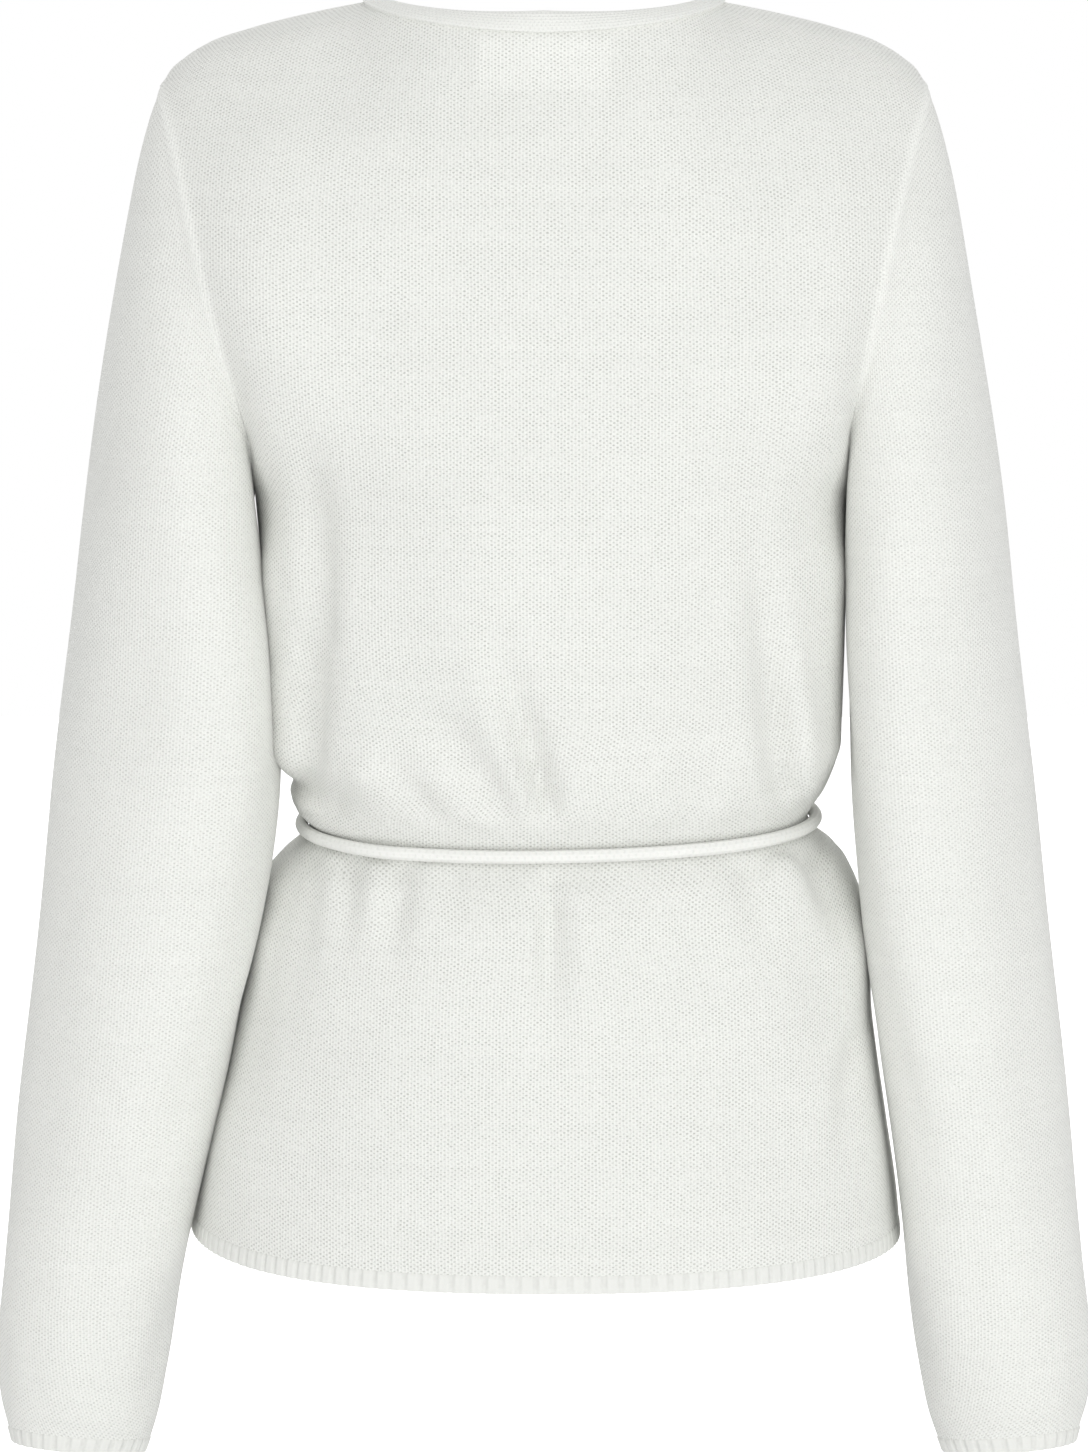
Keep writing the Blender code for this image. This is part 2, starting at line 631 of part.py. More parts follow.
def front_grid(side, rows, across):
    """Points and normals of a front; along the wrap edge the normals are kept level below."""
    points = front_panel(side, across, rows)
    normals = front_normals(side, across, rows)
    if side == "right":
        points = points + normals * wrap_lift(points)[..., None]
    at_edge = np.broadcast_to(across, normals.shape[:2]) == 1.0
    slope = smooth_step(np.broadcast_to(rows, normals.shape[:2]) - 1.0)
    levelled = unit(normals * np.stack((np.ones_like(slope), np.ones_like(slope), slope), axis=-1))
    return points, np.where(at_edge[..., None], levelled, normals)


def make_front(side, collection):
    rows = panel_rows()[:, None]
    across = np.linspace(0.0, 1.0, FRONT_CELLS + 1)[None, :]
    points, normals = front_grid(side, rows, across)
    upper = rows[:, 0] > 1.0
    turn = 180.0 * rows[upper, 0]
    normals[0] = unit(normals[0] * np.array((1.0, 1.0, 0.0)))
    normals[upper, 0] = armhole_normal(side, turn)
    normals[-1, 1:] = shoulder_normals(side, across[0, 1:])
    edges = ("first_row", "last_row", "first_column", "last_column")
    wall_from_points("front_panel_" + side, points, normals, edges, collection)


def sleeve_turns():
    return np.arange(SLEEVE_CELLS) * 360.0 / SLEEVE_CELLS


def make_sleeve(side, collection):
    cap = np.linspace(0.0, 1.0, CAP_CELLS + 1)
    below = 1.0 + np.arange(1, len(SLEEVE_ROWS)) / (len(SLEEVE_ROWS) - 1)
    rows = np.concatenate((cap, below))[:, None]
    turns = sleeve_turns()[None, :]
    points = sleeve(side, turns, rows)
    normals = sleeve_normals(side, turns, rows)
    normals[0] = armhole_normal(side, turns[0])
    edges = ("first_row", "last_row")
    wall_from_points("sleeve_" + side, points, normals, edges, collection, ring=True)


def rib_strip(name, place, first, last, length, collection, ring=False):
    """Narrow ribbed strip: place(share, level) gives its plain outside, level 0 at the seam."""
    ribs = max(4, round(length / (RIB_PITCH / MM)))
    count = 2 * ribs if ring else 2 * ribs + 1
    share = first + (last - first) * np.arange(count) / (2 * ribs)
    level = np.array((0.0, 1.0))[:, None]
    points, normals = place(share[None, :], level)
    raise_by = np.where(np.arange(count) % 2 == 1, RIB_RAISE, 0.0)[None, :, None]
    outer = points * MM + normals * raise_by
    inner = points * MM - normals * CLOTH_THICKNESS
    edges = ("first_row",) if ring else ("first_row", "first_column", "last_column")
    outer = draw_in(outer, edges, ring)
    inner = draw_in(inner, edges, ring)
    loft_wall(name, outer, inner, collection, RIB_COLOUR, ring)


def ring_normals(angle, height):
    """Outward normals of the torso rings, level with the ground."""
    along = torso(angle + STEP, height) - torso(angle - STEP, height)
    return unit(point_array(along[..., 1], -along[..., 0], 0.0 * along[..., 0]))


def hem_place(first_angle, last_angle, lifted):
    def place(share, level):
        angle = first_angle + (last_angle - first_angle) * share
        height = HEM_RIB_TOP + (HEM_HEIGHT - HEM_RIB_TOP) * level
        angle, height = np.broadcast_arrays(angle, height)
        points = torso(angle, height)
        normals = ring_normals(angle, height)
        if lifted:
            points = points + normals * wrap_lift(points)[..., None]
        return points, normals

    return place


def ring_length(first_angle, last_angle, height):
    angles = np.linspace(first_angle, last_angle, 200)
    points = torso(angles, np.full(angles.shape, height))
    return np.linalg.norm(np.diff(points, axis=0), axis=1).sum()


def make_hem_ribs(collection):
    edge_left = float(edge_angle("left", np.array(HEM_RIB_TOP)))
    edge_right = float(edge_angle("right", np.array(HEM_RIB_TOP)))
    strips = (
        ("hem_rib_back", 0.0, math.pi, False),
        ("hem_rib_front_right", math.pi, edge_right, True),
        ("hem_rib_front_left", edge_left, 2.0 * math.pi, False),
    )
    for name, first_angle, last_angle, lifted in strips:
        length = ring_length(first_angle, last_angle, HEM_RIB_TOP)
        place = hem_place(first_angle, last_angle, lifted)
        rib_strip(name, place, 0.0, 1.0, length, collection)


def make_cuff_rib(side, collection):
    def place(turn, level):
        height = CUFF_TOP + (CUFF_BOTTOM - CUFF_TOP) * level
        turn, height = np.broadcast_arrays(turn, height)
        points = sleeve_ring(side, turn, height)
        along = sleeve_ring(side, turn + 0.1, height) - sleeve_ring(side, turn - 0.1, height)
        sign = 1.0 if side == "left" else -1.0
        normals = unit(point_array(along[..., 1], -along[..., 0], 0.0 * along[..., 0])) * sign
        return points, normals

    turns = np.arange(361.0)
    ring = sleeve_ring(side, turns, np.full(turns.shape, CUFF_TOP))
    length = np.linalg.norm(np.diff(ring, axis=0), axis=1).sum()
    rib_strip("cuff_rib_" + side, place, 0.0, 360.0, length, collection, ring=True)


def band_grid(seam, normals, along, inward_sign):
    """Outside of a narrow band that continues the cloth past its seam."""
    direction = unit(np.cross(normals, along)) * inward_sign
    levels = np.array((0.0, 1.0))[:, None, None]
    raised = seam + normals * BAND_RAISE / MM
    return raised[None] + direction[None] * levels * BAND_WIDTH / MM


def neck_normals(share):
    """Normals along the back neck seam, turning evenly from one shoulder to the other."""
    angle = math.pi * share
    middle = back_normals(0.5, 2.0)
    ends = np.where(
        (np.cos(angle) >= 0.0)[:, None], shoulder_normals("left", 1.0),
        shoulder_normals("right", 1.0))
    return unit(ends * np.abs(np.cos(angle))[:, None] + middle * np.sin(angle)[:, None])


def make_neck_band(collection):
    places = np.linspace(0.0, 1.0, BACK_CELLS + 1)
    places = places[(places >= NECK_SHARE - 1e-9) & (places <= 1.0 - NECK_SHARE + 1e-9)]
    share = (places - NECK_SHARE) / (1.0 - 2.0 * NECK_SHARE)
    seam = neck_seam(share)
    normals = neck_normals(share)
    along = neck_seam(np.clip(share + STEP, 0, 1)) - neck_seam(np.clip(share - STEP, 0, 1))
    points = band_grid(seam, normals, along, 1.0)
    edges = ("first_row", "first_column", "last_column")
    all_normals = np.broadcast_to(normals, points.shape)
    wall_from_points("neck_band_back", points, all_normals, edges, collection, RIB_COLOUR)


def laid_on_front(side, across, height):
    """Points of a front panel's outside at given distances across and given ring heights."""
    angle = front_angle(across, height)
    laid = torso(angle, height)
    if side == "right":
        whole_turn = (0.0, 2.0 * math.pi)
        normals = surface_normals(torso, angle, height, whole_turn, (HEM_HEIGHT, 0.0))
        laid = laid + normals * wrap_lift(laid)[..., None]
    return laid


def make_front_band(side, collection):
    rows = panel_rows()
    seam, normals = front_grid(side, rows[:, None], np.array([[1.0]]))
    seam = seam[:, 0]
    normals = normals[:, 0]
    angle = float(edge_angle(side, np.array(HEM_RIB_TOP)))
    below = hem_place(angle, angle, side == "right")(np.array(0.0), np.array(1.0))[0]
    seam = np.concatenate((below[None], seam))
    normals = np.concatenate((normals[:1], normals))
    normals[-1] = shoulder_normals(side, 1.0)
    along = np.gradient(seam, axis=0)
    along[-1] = (0.0, 1.0, 0.0)
    sign = 1.0 if side == "left" else -1.0
    points = band_grid(seam, normals, along, sign)
    height = np.array((HEM_HEIGHT, *LOWER_ROWS))
    lower = slice(0, len(height))
    laid = laid_on_front(side, seam[lower, 0] - sign * BAND_WIDTH / MM, height)
    if side == "right":
        laid = laid + normals[lower] * BAND_RAISE / MM
    else:
        laid = laid - normals[lower] * UNDER_BAND_SINK / MM
        points[0, lower] = seam[lower]
    share = smooth_step((YOKE_HEIGHT - height) / BAND_LEVELS_OVER)[:, None]
    points[1, lower] = points[1, lower] + (laid - points[1, lower]) * share
    edges = ("first_row", "last_column")
    all_normals = np.broadcast_to(normals, points.shape)
    wall_from_points("front_band_" + side, points, all_normals, edges, collection, RIB_COLOUR)


def belt_point(angle, clearance):
    """Middle of the belt cord at a torso angle, clear of the cloth under it."""
    angle = np.asarray(angle, dtype=float)
    points = torso(angle, np.full(angle.shape, BELT_HEIGHT))
    normals = ring_normals(angle, np.full(angle.shape, BELT_HEIGHT))
    over_edge = float(smooth_table(BELT_HEIGHT, EDGE_HEIGHT, EDGE_PAST_CENTRE)) + BAND_WIDTH / MM
    past_edge = smooth_step((points[..., 0] - over_edge - EDGE_CLEARANCE) / 18.0)
    lift = wrap_lift(points) * (1.0 + BAND_RAISE / CLOTH_THICKNESS)
    lift = lift + EDGE_BUMP * np.exp(-((points[..., 0] - over_edge + 2.0) / 14.0) ** 2)
    lift = (lift * (1.0 - past_edge))[..., None]
    return (points + normals * (lift + clearance / MM)) * MM


def make_cord(name, points, collection):
    curve = bpy.data.curves.new(name, "CURVE")
    curve.dimensions = "3D"
    curve.bevel_depth = CORD_RADIUS
    curve.bevel_resolution = 2
    curve.use_fill_caps = True
    spline = curve.splines.new("POLY")
    spline.points.add(len(points) - 1)
    for place, point in zip(spline.points, points):
        place.co = (*point, 1.0)
    curve.materials.append(principled(name + "_material", CORD_COLOUR, 0.9))
    made = bpy.data.objects.new(name, curve)
    collection.objects.link(made)
    return made


def make_belt(collection):
    angles = np.linspace(
        KNOT_ANGLE + KNOT_HALF_SPAN, KNOT_ANGLE - KNOT_HALF_SPAN + 2.0 * math.pi, CORD_POINTS)
    make_cord("belt_cord", belt_point(angles, CORD_CLEARANCE), collection)


def make_knot(collection):
    centre = belt_point(np.array(KNOT_ANGLE), KNOT_CLEARANCE)
    shape = bmesh.new()
    bmesh.ops.create_uvsphere(shape, u_segments=14, v_segments=9, radius=0.5)
    for corner in shape.verts:
        x, y, z = corner.co
        corner.co = (x * KNOT_SIZE[0], y * KNOT_SIZE[1], z * KNOT_SIZE[2])
        corner.co += type(corner.co)(centre)
    mesh = bpy.data.meshes.new("belt_knot")
    shape.to_mesh(mesh)
    shape.free()
    mesh.shade_smooth()
    add_object("belt_knot", mesh, CORD_COLOUR, collection)


def front_place(across, height, clearance):
    """Point in front of the wrapped fronts at a distance across and a height."""
    angle = front_angle(np.array(across), np.array(height))
    point = torso(angle, np.array(height))
    out = ring_normals(angle, np.array(height))
    return (point + out * (wrap_lift(point) + clearance / MM)) * MM


def make_belt_ends(collection):
    knot = belt_point(np.array(KNOT_ANGLE), KNOT_CLEARANCE)
    top = knot[2] - KNOT_SIZE[2] * 0.5 - 1.0 * MM
    for name, start_offset, end_offset, bottom in BELT_ENDS:
        start = np.array((knot[0] + start_offset * MM, knot[1], top))
        points = [start]
        for share in np.linspace(0.0, 1.0, END_POINTS)[1:]:
            height = top / MM + (bottom - top / MM) * share
            across = knot[0] / MM + start_offset + (end_offset - start_offset) * smooth_step(share)
            laid = front_place(float(across), float(height), CORD_CLEARANCE + 0.6 * MM)
            points.append(np.array((laid[0], min(laid[1], knot[1]), laid[2])))
        make_cord(name, points, collection)


def make_label(collection):
    """Blank label that follows the inside of the back, just clear of it."""
    across = np.linspace(-LABEL_HALF_WIDTH, LABEL_HALF_WIDTH, 7)
    heights = np.linspace(LABEL_BOTTOM, LABEL_TOP, 4)
    grid = np.zeros((len(heights), len(across), 3))
    normals = np.zeros_like(grid)
    for row, height in enumerate(heights):
        for place, x in enumerate(across):
            share, rise = find_back_place(x, height)
            grid[row, place] = back_panel(share, rise)
            normals[row, place] = back_normals(share, rise)
    outer = grid * MM - normals * (CLOTH_THICKNESS + LABEL_CLEARANCE)
    inner = outer - normals * LABEL_THICKNESS
    loft_wall("neck_label", outer, inner, collection, LABEL_COLOUR)


def find_back_place(across, height):
    """Panel coordinates of the back's point at a distance across and a height."""
    share = 0.5
    rise = 1.8
    for _ in range(12):
        point = back_panel(share, rise)
        by_share = (back_panel(share + STEP, rise) - point) / STEP
        by_rise = (back_panel(share, rise + STEP) - point) / STEP
        system = np.array(((by_share[0], by_rise[0]), (by_share[2], by_rise[2])))
        step = np.linalg.solve(system, np.array((across - point[0], height - point[2])))
        share = float(np.clip(share + step[0], 0.26, 0.74))
        rise = float(np.clip(rise + step[1], 1.05, 1.999))
    return share, rise


def main():
    for old in list(bpy.data.objects):
        bpy.data.objects.remove(old, do_unlink=True)
    collection = bpy.data.collections.new("wrap_cardigan")
    bpy.context.scene.collection.children.link(collection)
    make_back(collection)
    make_hem_ribs(collection)
    make_neck_band(collection)
    make_label(collection)
    for side in ("left", "right"):
        make_front(side, collection)
        make_front_band(side, collection)
        make_sleeve(side, collection)
        make_cuff_rib(side, collection)
    make_belt(collection)
    make_knot(collection)
    make_belt_ends(collection)


main()
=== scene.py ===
"""Wrap cardigan of soft brushed knit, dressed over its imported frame.

Frame: metres, +Z up, +Y the wearer's back, +X the wearer's left, origin between the neck points.
The tables are in millimetres and give the form of the frame's solids, with the back a little fuller
beside the sleeves. Every panel is a fine sheet laid on that form, with smaller folds, seam ridges
and the knit's own pattern.
"""

import math

import bpy
import numpy as np
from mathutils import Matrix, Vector
from mathutils.bvhtree import BVHTree
from mathutils.kdtree import KDTree


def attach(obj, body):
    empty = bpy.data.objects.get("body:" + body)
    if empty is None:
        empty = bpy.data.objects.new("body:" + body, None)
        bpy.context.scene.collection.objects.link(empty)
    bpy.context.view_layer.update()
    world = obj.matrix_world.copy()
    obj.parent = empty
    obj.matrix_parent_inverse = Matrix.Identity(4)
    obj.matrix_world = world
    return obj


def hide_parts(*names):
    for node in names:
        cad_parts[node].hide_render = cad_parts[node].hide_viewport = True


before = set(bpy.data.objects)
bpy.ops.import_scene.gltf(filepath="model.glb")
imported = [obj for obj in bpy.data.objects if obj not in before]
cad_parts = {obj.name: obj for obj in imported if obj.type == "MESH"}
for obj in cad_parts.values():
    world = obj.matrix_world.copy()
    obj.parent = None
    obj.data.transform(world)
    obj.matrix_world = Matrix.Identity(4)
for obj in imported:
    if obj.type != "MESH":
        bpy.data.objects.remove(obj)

bl_info = {
    "name": "Wrap cardigan",
    "version": (1, 0, 0),
    "blender": (4, 5, 0),
    "location": "3D View > Sidebar > Cardigan",
    "description": "Builds a soft knitted wrap cardigan with its tie belt",
    "category": "Add Mesh",
}

MM = 0.001
BODY = "root"

# Heights that part the garment
HEM_HEIGHT = -557.6
HEM_RIB_TOP = -549.6
YOKE_HEIGHT = -215.0
BELT_HEIGHT = -365.0
BELT_TILT_LEFT = 1.6
BELT_TILT_BEHIND = 4.5
BELT_TILT_REACH = 40.0
HEM_RISE_LEFT = 6.5
HEM_RISE_RIGHT = 3.0
HEM_RISE_TOP = -500.0
HEM_RISE_REACH = 50.0
BAND_WIDTH = 8.0
BAND_LEVELS_OVER = 60.0
LAYER_RISE = 3.7

# Torso rings: height, half width on the left, on the right, depth behind, depth in front
TORSO_COLUMNS = ("height", "left", "right", "behind", "front")
TORSO_SECTIONS = (
    (-560.0, 160.6, 162.0, 113.0, 112.0),
    (-538.0, 157.4, 160.0, 112.0, 111.0),
    (-499.0, 150.0, 154.6, 109.0, 108.0),
    (-471.0, 143.0, 150.4, 106.0, 105.0),
    (-452.0, 138.8, 148.0, 104.0, 103.0),
    (-430.0, 133.8, 147.2, 101.0, 101.0),
    (-412.0, 130.5, 146.2, 98.0, 98.0),
    (-397.0, 127.0, 142.0, 95.0, 95.0),
    (-388.0, 125.0, 138.0, 91.5, 92.0),
    (-380.0, 119.5, 133.0, 87.5, 88.0),
    (-372.0, 109.3, 122.6, 81.5, 83.0),
    (-365.0, 102.6, 115.8, 76.6, 78.6),
    (-358.0, 110.4, 120.6, 82.0, 83.5),
    (-351.0, 113.8, 126.0, 88.5, 90.0),
    (-343.0, 112.0, 129.8, 93.0, 96.0),
    (-332.0, 118.6, 132.2, 97.5, 103.0),
    (-316.0, 119.8, 133.0, 99.5, 109.0),
    (-290.0, 121.2, 133.8, 100.5, 115.0),
    (-250.0, 126.0, 134.6, 100.5, 121.0),
    (-215.0, 129.0, 136.2, 100.0, 122.0),
)
TORSO_SQUARENESS = -0.02

# The largest creases: across and height of the deep end, then of the fading end, half width, depth
# and side
TORSO_CREASES = (
    (104.0, -350.0, 100.0, -160.0, 9.0, -5.0, 1.0),
    (112.0, -350.0, 117.0, -190.0, 6.0, 4.0, 1.0),
    (-4.0, -350.0, 19.0, -270.0, 7.0, -5.0, 1.0),
    (18.0, -350.0, 62.0, -285.0, 10.0, -2.4, 1.0),
    (76.0, -350.0, 72.0, -295.0, 12.0, 5.0, 1.0),
    (-104.0, -350.0, -87.0, -220.0, 8.0, -5.0, 1.0),
    (-114.0, -350.0, -99.0, -235.0, 7.0, 3.5, 1.0),
    (-5.0, -381.0, -2.0, -450.0, 8.0, -3.5, 1.0),
    (67.0, -381.0, 70.0, -430.0, 9.0, -3.5, 1.0),
    (104.0, -381.0, 142.0, -545.0, 12.0, -3.6, 1.0),
    (-114.0, -381.0, -143.0, -540.0, 12.0, -3.2, 1.0),
    (-60.0, -381.0, -72.0, -450.0, 10.0, -2.5, 1.0),
    (-92.0, -350.0, -70.0, -250.0, 12.0, -5.0, -1.0),
    (90.0, -350.0, 84.0, -250.0, 12.0, -5.0, -1.0),
    (-100.0, -381.0, -122.0, -520.0, 13.0, -5.0, -1.0),
    (98.0, -381.0, 126.0, -520.0, 13.0, -5.0, -1.0),
)

# Smaller folds: across and height of the start, across of the bend, across and height of the end,
# half width, depth and side
FINE_FOLDS = (
    (-4.5, -357.0, 14.0, 28.0, -240.0, 4.6, -2.7, 1.0),
    (7.0, -358.0, 24.0, 37.0, -265.0, 6.4, 1.7, 1.0),
    (-4.0, -371.0, -1.0, -5.0, -492.0, 4.2, -2.5, 1.0),
    (-15.0, -378.0, -20.0, -30.0, -480.0, 9.0, 1.6, 1.0),
    (105.0, -352.0, 97.0, 95.0, -245.0, 4.5, -2.2, 1.0),
    (95.0, -285.0, 92.0, 122.0, -138.0, 4.5, -1.6, 1.0),
    (112.0, -300.0, 104.0, 118.0, -165.0, 5.0, 1.2, 1.0),
    (84.0, -352.0, 80.0, 78.0, -190.0, 9.0, 1.5, 1.0),
    (3.0, -358.0, 30.0, 64.0, -286.0, 6.5, -1.6, 1.0),
    (26.0, -358.0, 48.0, 82.0, -300.0, 6.5, 1.1, 1.0),
    (44.0, -358.0, 60.0, 86.0, -312.0, 5.0, -1.0, 1.0),
    (92.0, -358.0, 90.0, 84.0, -330.0, 7.0, -1.8, 1.0),
    (-108.0, -356.0, -97.0, -84.0, -180.0, 4.4, -2.2, 1.0),
    (-116.0, -354.0, -112.0, -98.0, -225.0, 6.0, 1.4, 1.0),
    (-92.0, -350.0, -84.0, -74.0, -215.0, 8.0, 1.0, 1.0),
    (-40.0, -357.0, -32.0, -30.0, -300.0, 6.0, -0.8, 1.0),
    (-66.0, -357.0, -62.0, -50.0, -290.0, 7.0, -0.9, 1.0),
    (84.0, -371.0, 86.0, 88.0, -430.0, 4.4, -1.7, 1.0),
    (62.0, -372.0, 64.0, 72.0, -424.0, 4.8, -1.5, 1.0),
    (73.0, -373.0, 76.0, 80.0, -440.0, 6.0, 1.3, 1.0),
    (100.0, -372.0, 108.0, 120.0, -470.0, 5.0, -1.5, 1.0),
    (34.0, -372.0, 38.0, 44.0, -420.0, 6.0, -0.7, 1.0),
    (-34.0, -372.0, -38.0, -46.0, -430.0, 6.0, -0.8, 1.0),
    (-119.0, -371.0, -134.0, -142.0, -430.0, 5.0, -2.4, 1.0),
    (-104.0, -373.0, -112.0, -120.0, -420.0, 7.0, 1.6, 1.0),
    (-88.0, -372.0, -98.0, -108.0, -440.0, 6.0, -1.2, 1.0),
    (108.0, -372.0, 134.0, 140.0, -540.0, 5.0, -1.6, 1.0),
    (-112.0, -372.0, -128.0, -140.0, -430.0, 5.0, -1.4, 1.0),
    (-139.0, -450.0, -130.0, -140.0, -540.0, 5.0, -1.6, 1.0),
    (66.0, -357.0, 56.0, 40.0, -270.0, 7.0, -1.6, -1.0),
    (40.0, -357.0, 34.0, 14.0, -290.0, 6.0, -1.2, -1.0),
    (10.0, -355.0, 4.0, -14.0, -280.0, 7.0, -1.5, -1.0),
    (-30.0, -357.0, -38.0, -52.0, -270.0, 7.0, -1.4, -1.0),
    (-62.0, -357.0, -66.0, -80.0, -290.0, 6.0, -1.3, -1.0),
    (-84.0, -357.0, -98.0, -104.0, -240.0, 5.0, -1.5, -1.0),
    (-8.0, -372.0, -12.0, -22.0, -460.0, 6.0, -1.4, -1.0),
    (-44.0, -372.0, -52.0, -60.0, -440.0, 6.0, -1.2, -1.0),
    (-74.0, -372.0, -90.0, -104.0, -480.0, 6.0, -1.4, -1.0),
    (30.0, -372.0, 33.0, 40.0, -440.0, 6.0, -1.1, -1.0),
    (84.0, -372.0, 98.0, 112.0, -470.0, 6.0, -1.4, -1.0),
)

# Shoulder seam, back neck and the guide over which the back bends forward
SHOULDER_OUT = (78.0, 100.0, 130.0, 148.0, 158.5, 166.0, 169.5)
SHOULDER_HEIGHT = (-0.6, -4.9, -12.4, -18.6, -25.0, -32.0, -38.5)
SHOULDER_TIP = 169.5
NECK_POINT = 78.0
NECK_SHARE = 0.25
NECK_BEHIND = 56.0
NECK_POINT_HEIGHT = -0.6
NECK_DROP = 11.6
NECK_DROP_POWER = 1.4
GUIDE_SHARE = (0.0, 0.125, 0.25, 0.375, 0.5)
GUIDE_OUT = (171.0, 133.0, 103.0, 60.0, 0.0)
GUIDE_BEHIND = (40.0, 46.0, 50.0, 73.0, 84.0)
GUIDE_HEIGHT = (-46.0, -22.0, -22.0, -43.0, -62.0)
YOKE_PULL = 0.36
BACK_PULL_REACH = 0.44
FRONT_PULL_REACH = 0.8
FRONT_LEAD_OUT = -52.0
FRONT_LEAD_DOWN = -8.0
FRONT_LEAD_CHANGE = 4.0

# Armhole seam, by turns from the shoulder over the back to the underarm and up the front
ARMHOLE_COLUMNS = (
    "turn", "left", "right", "back", "height", "lead_out", "lead_back", "lead_up")
ARMHOLE_POINTS = (
    (0.0, 169.5, 169.5, 0.0, -38.5, 14.0, 0.0, -26.0),
    (45.0, 160.0, 159.0, 41.0, -74.0, 20.0, 4.0, -28.0),
    (90.0, 147.0, 146.0, 64.0, -127.0, 17.0, 3.0, -32.0),
    (135.0, 131.0, 134.5, 54.0, -183.0, 0.0, 4.0, -20.0),
    (180.0, 129.0, 136.2, 0.0, -215.0, 1.5, 2.0, -9.0),
    (225.0, 130.0, 135.5, -58.0, -186.0, 8.0, -4.0, -20.0),
    (270.0, 139.0, 138.5, -76.0, -128.0, 19.0, -3.0, -32.0),
    (315.0, 156.0, 155.0, -48.0, -71.0, 22.0, -4.0, -27.0),
    (360.0, 169.5, 169.5, 0.0, -38.5, 14.0, 0.0, -26.0),
)

# Sleeve rings: height, outer side, inner side left and right, middle and half depth, lean
SLEEVE_COLUMNS = ("height", "outer", "left", "right", "middle", "deep", "lean")
SLEEVE_SECTIONS = (
    (-657.0, 240.0, 183.0, 183.0, 20.0, 22.0, 0.0),
    (-650.0, 241.6, 181.0, 181.0, 20.0, 23.0, 0.0),
    (-643.0, 243.4, 178.6, 178.6, 20.0, 25.0, 1.0),
    (-634.0, 245.6, 175.8, 175.8, 21.0, 28.0, 2.0),
    (-608.0, 247.2, 170.6, 170.4, 22.0, 33.0, 3.0),
    (-566.0, 243.6, 163.4, 163.6, 24.0, 37.5, 4.0),
    (-538.0, 240.9, 157.4, 160.4, 24.0, 40.0, 6.0),
    (-500.0, 236.9, 148.4, 155.6, 26.0, 43.0, 9.0),
    (-451.0, 231.5, 136.6, 148.4, 25.0, 46.0, 11.0),
    (-414.0, 227.6, 127.8, 143.5, 22.0, 48.0, 12.0),
    (-373.0, 223.0, 121.1, 139.1, 22.0, 50.0, 13.0),
    (-332.0, 218.6, 117.3, 135.2, 21.0, 52.0, 14.0),
    (-287.0, 213.5, 119.5, 132.8, 20.0, 54.0, 14.0),
    (-247.0, 208.9, 124.0, 133.0, 17.0, 56.0, 13.0),
)
SLEEVE_TOP = -247.0
CUFF_TOP = -643.0
CUFF_BOTTOM = -650.5
CUFF_SLOPE = 0.083
CUFF_SLOPE_BEHIND = 0.12

# Soft folds down the sleeves: turn, height of the middle, half turn, half height, lean and depth
SLEEVE_FOLDS = (
    (150.0, -330.0, 16.0, 60.0, 0.25, -1.6),
    (205.0, -390.0, 14.0, 44.0, -0.30, -1.5),
    (175.0, -425.0, 12.0, 34.0, 0.42, -1.3),
    (120.0, -470.0, 13.0, 70.0, 0.16, -1.0),
    (60.0, -300.0, 18.0, 90.0, 0.10, -0.9),
    (30.0, -430.0, 16.0, 90.0, -0.10, -0.8),
    (240.0, -450.0, 14.0, 50.0, 0.30, -1.3),
    (280.0, -340.0, 16.0, 70.0, -0.20, -1.2),
    (320.0, -480.0, 16.0, 80.0, 0.12, -0.9),
    (90.0, -560.0, 12.0, 46.0, -0.15, -0.9),
    (150.0, -600.0, 12.0, 30.0, 0.20, -0.8),
    (250.0, -590.0, 12.0, 34.0, -0.20, -0.8),
    (20.0, -615.0, 12.0, 26.0, 0.10, -0.6),
)

# Front edges of the wrap and the neckline
EDGE_HEIGHT = (-560.0, -460.0, -365.0, -300.0, -240.0, -215.0)
EDGE_PAST_CENTRE = (72.0, 69.0, 62.0, 33.0, 0.0, -10.5)
NECKLINE_SHARE = (0.0, 0.3, 0.55, 0.8, 1.0)
NECKLINE_OUT = (10.5, 34.0, 53.5, 71.0, 78.0)
NECKLINE_DEPTH = (121.6, 112.0, 87.0, 43.0, 0.0)
NECKLINE_HEIGHT = (-215.0, -147.0, -86.0, -26.0, -0.6)
LIFT_START = 38.0
LIFT_REACH = 20.0

# Belt cord, knot and free ends
CORD_CLEARANCE = 4.0
EDGE_CLEARANCE = 8.0
EDGE_BUMP = 1.9
EDGE_BUMP_BEFORE = 2.0
EDGE_BUMP_REACH = 14.0
EDGE_FALL = 18.0
BELT_END_LIFT = 0.6
BAND_SHARE_OF_LIFT = 1.15
KNOT_ANGLE = 4.68
KNOT_HALF_SPAN = 0.098
KNOT_CLEARANCE = 8.8
KNOT_HEIGHT = 13.0
BELT_ENDS = (
    ("belt_end_a", -3.5, -12.0, -546.0),
    ("belt_end_b", 3.5, 14.0, -566.0),
)
# Knot strands from where the belt comes in to where the free end leaves, round the knot's middle
KNOT_STRANDS = (
    ((8.4, 2.6, 0.4), (5.6, 0.2, 2.2), (1.4, -2.6, 3.6), (-3.2, -2.8, 2.4), (-5.8, 0.2, -0.4),
     (-3.4, 2.8, -2.6), (0.8, 2.2, -3.8), (3.4, 0.4, -6.0), (3.5, 0.0, -8.4)),
    ((-8.4, 2.6, 0.4), (-5.4, 3.4, 0.8), (-1.2, 3.0, 2.0), (3.4, 1.4, 1.6), (5.4, -1.6, -0.8),
     (2.6, -4.2, -2.4), (-1.4, -3.6, -3.8), (-3.4, -0.8, -6.2), (-3.5, 0.0, -8.4)),
)

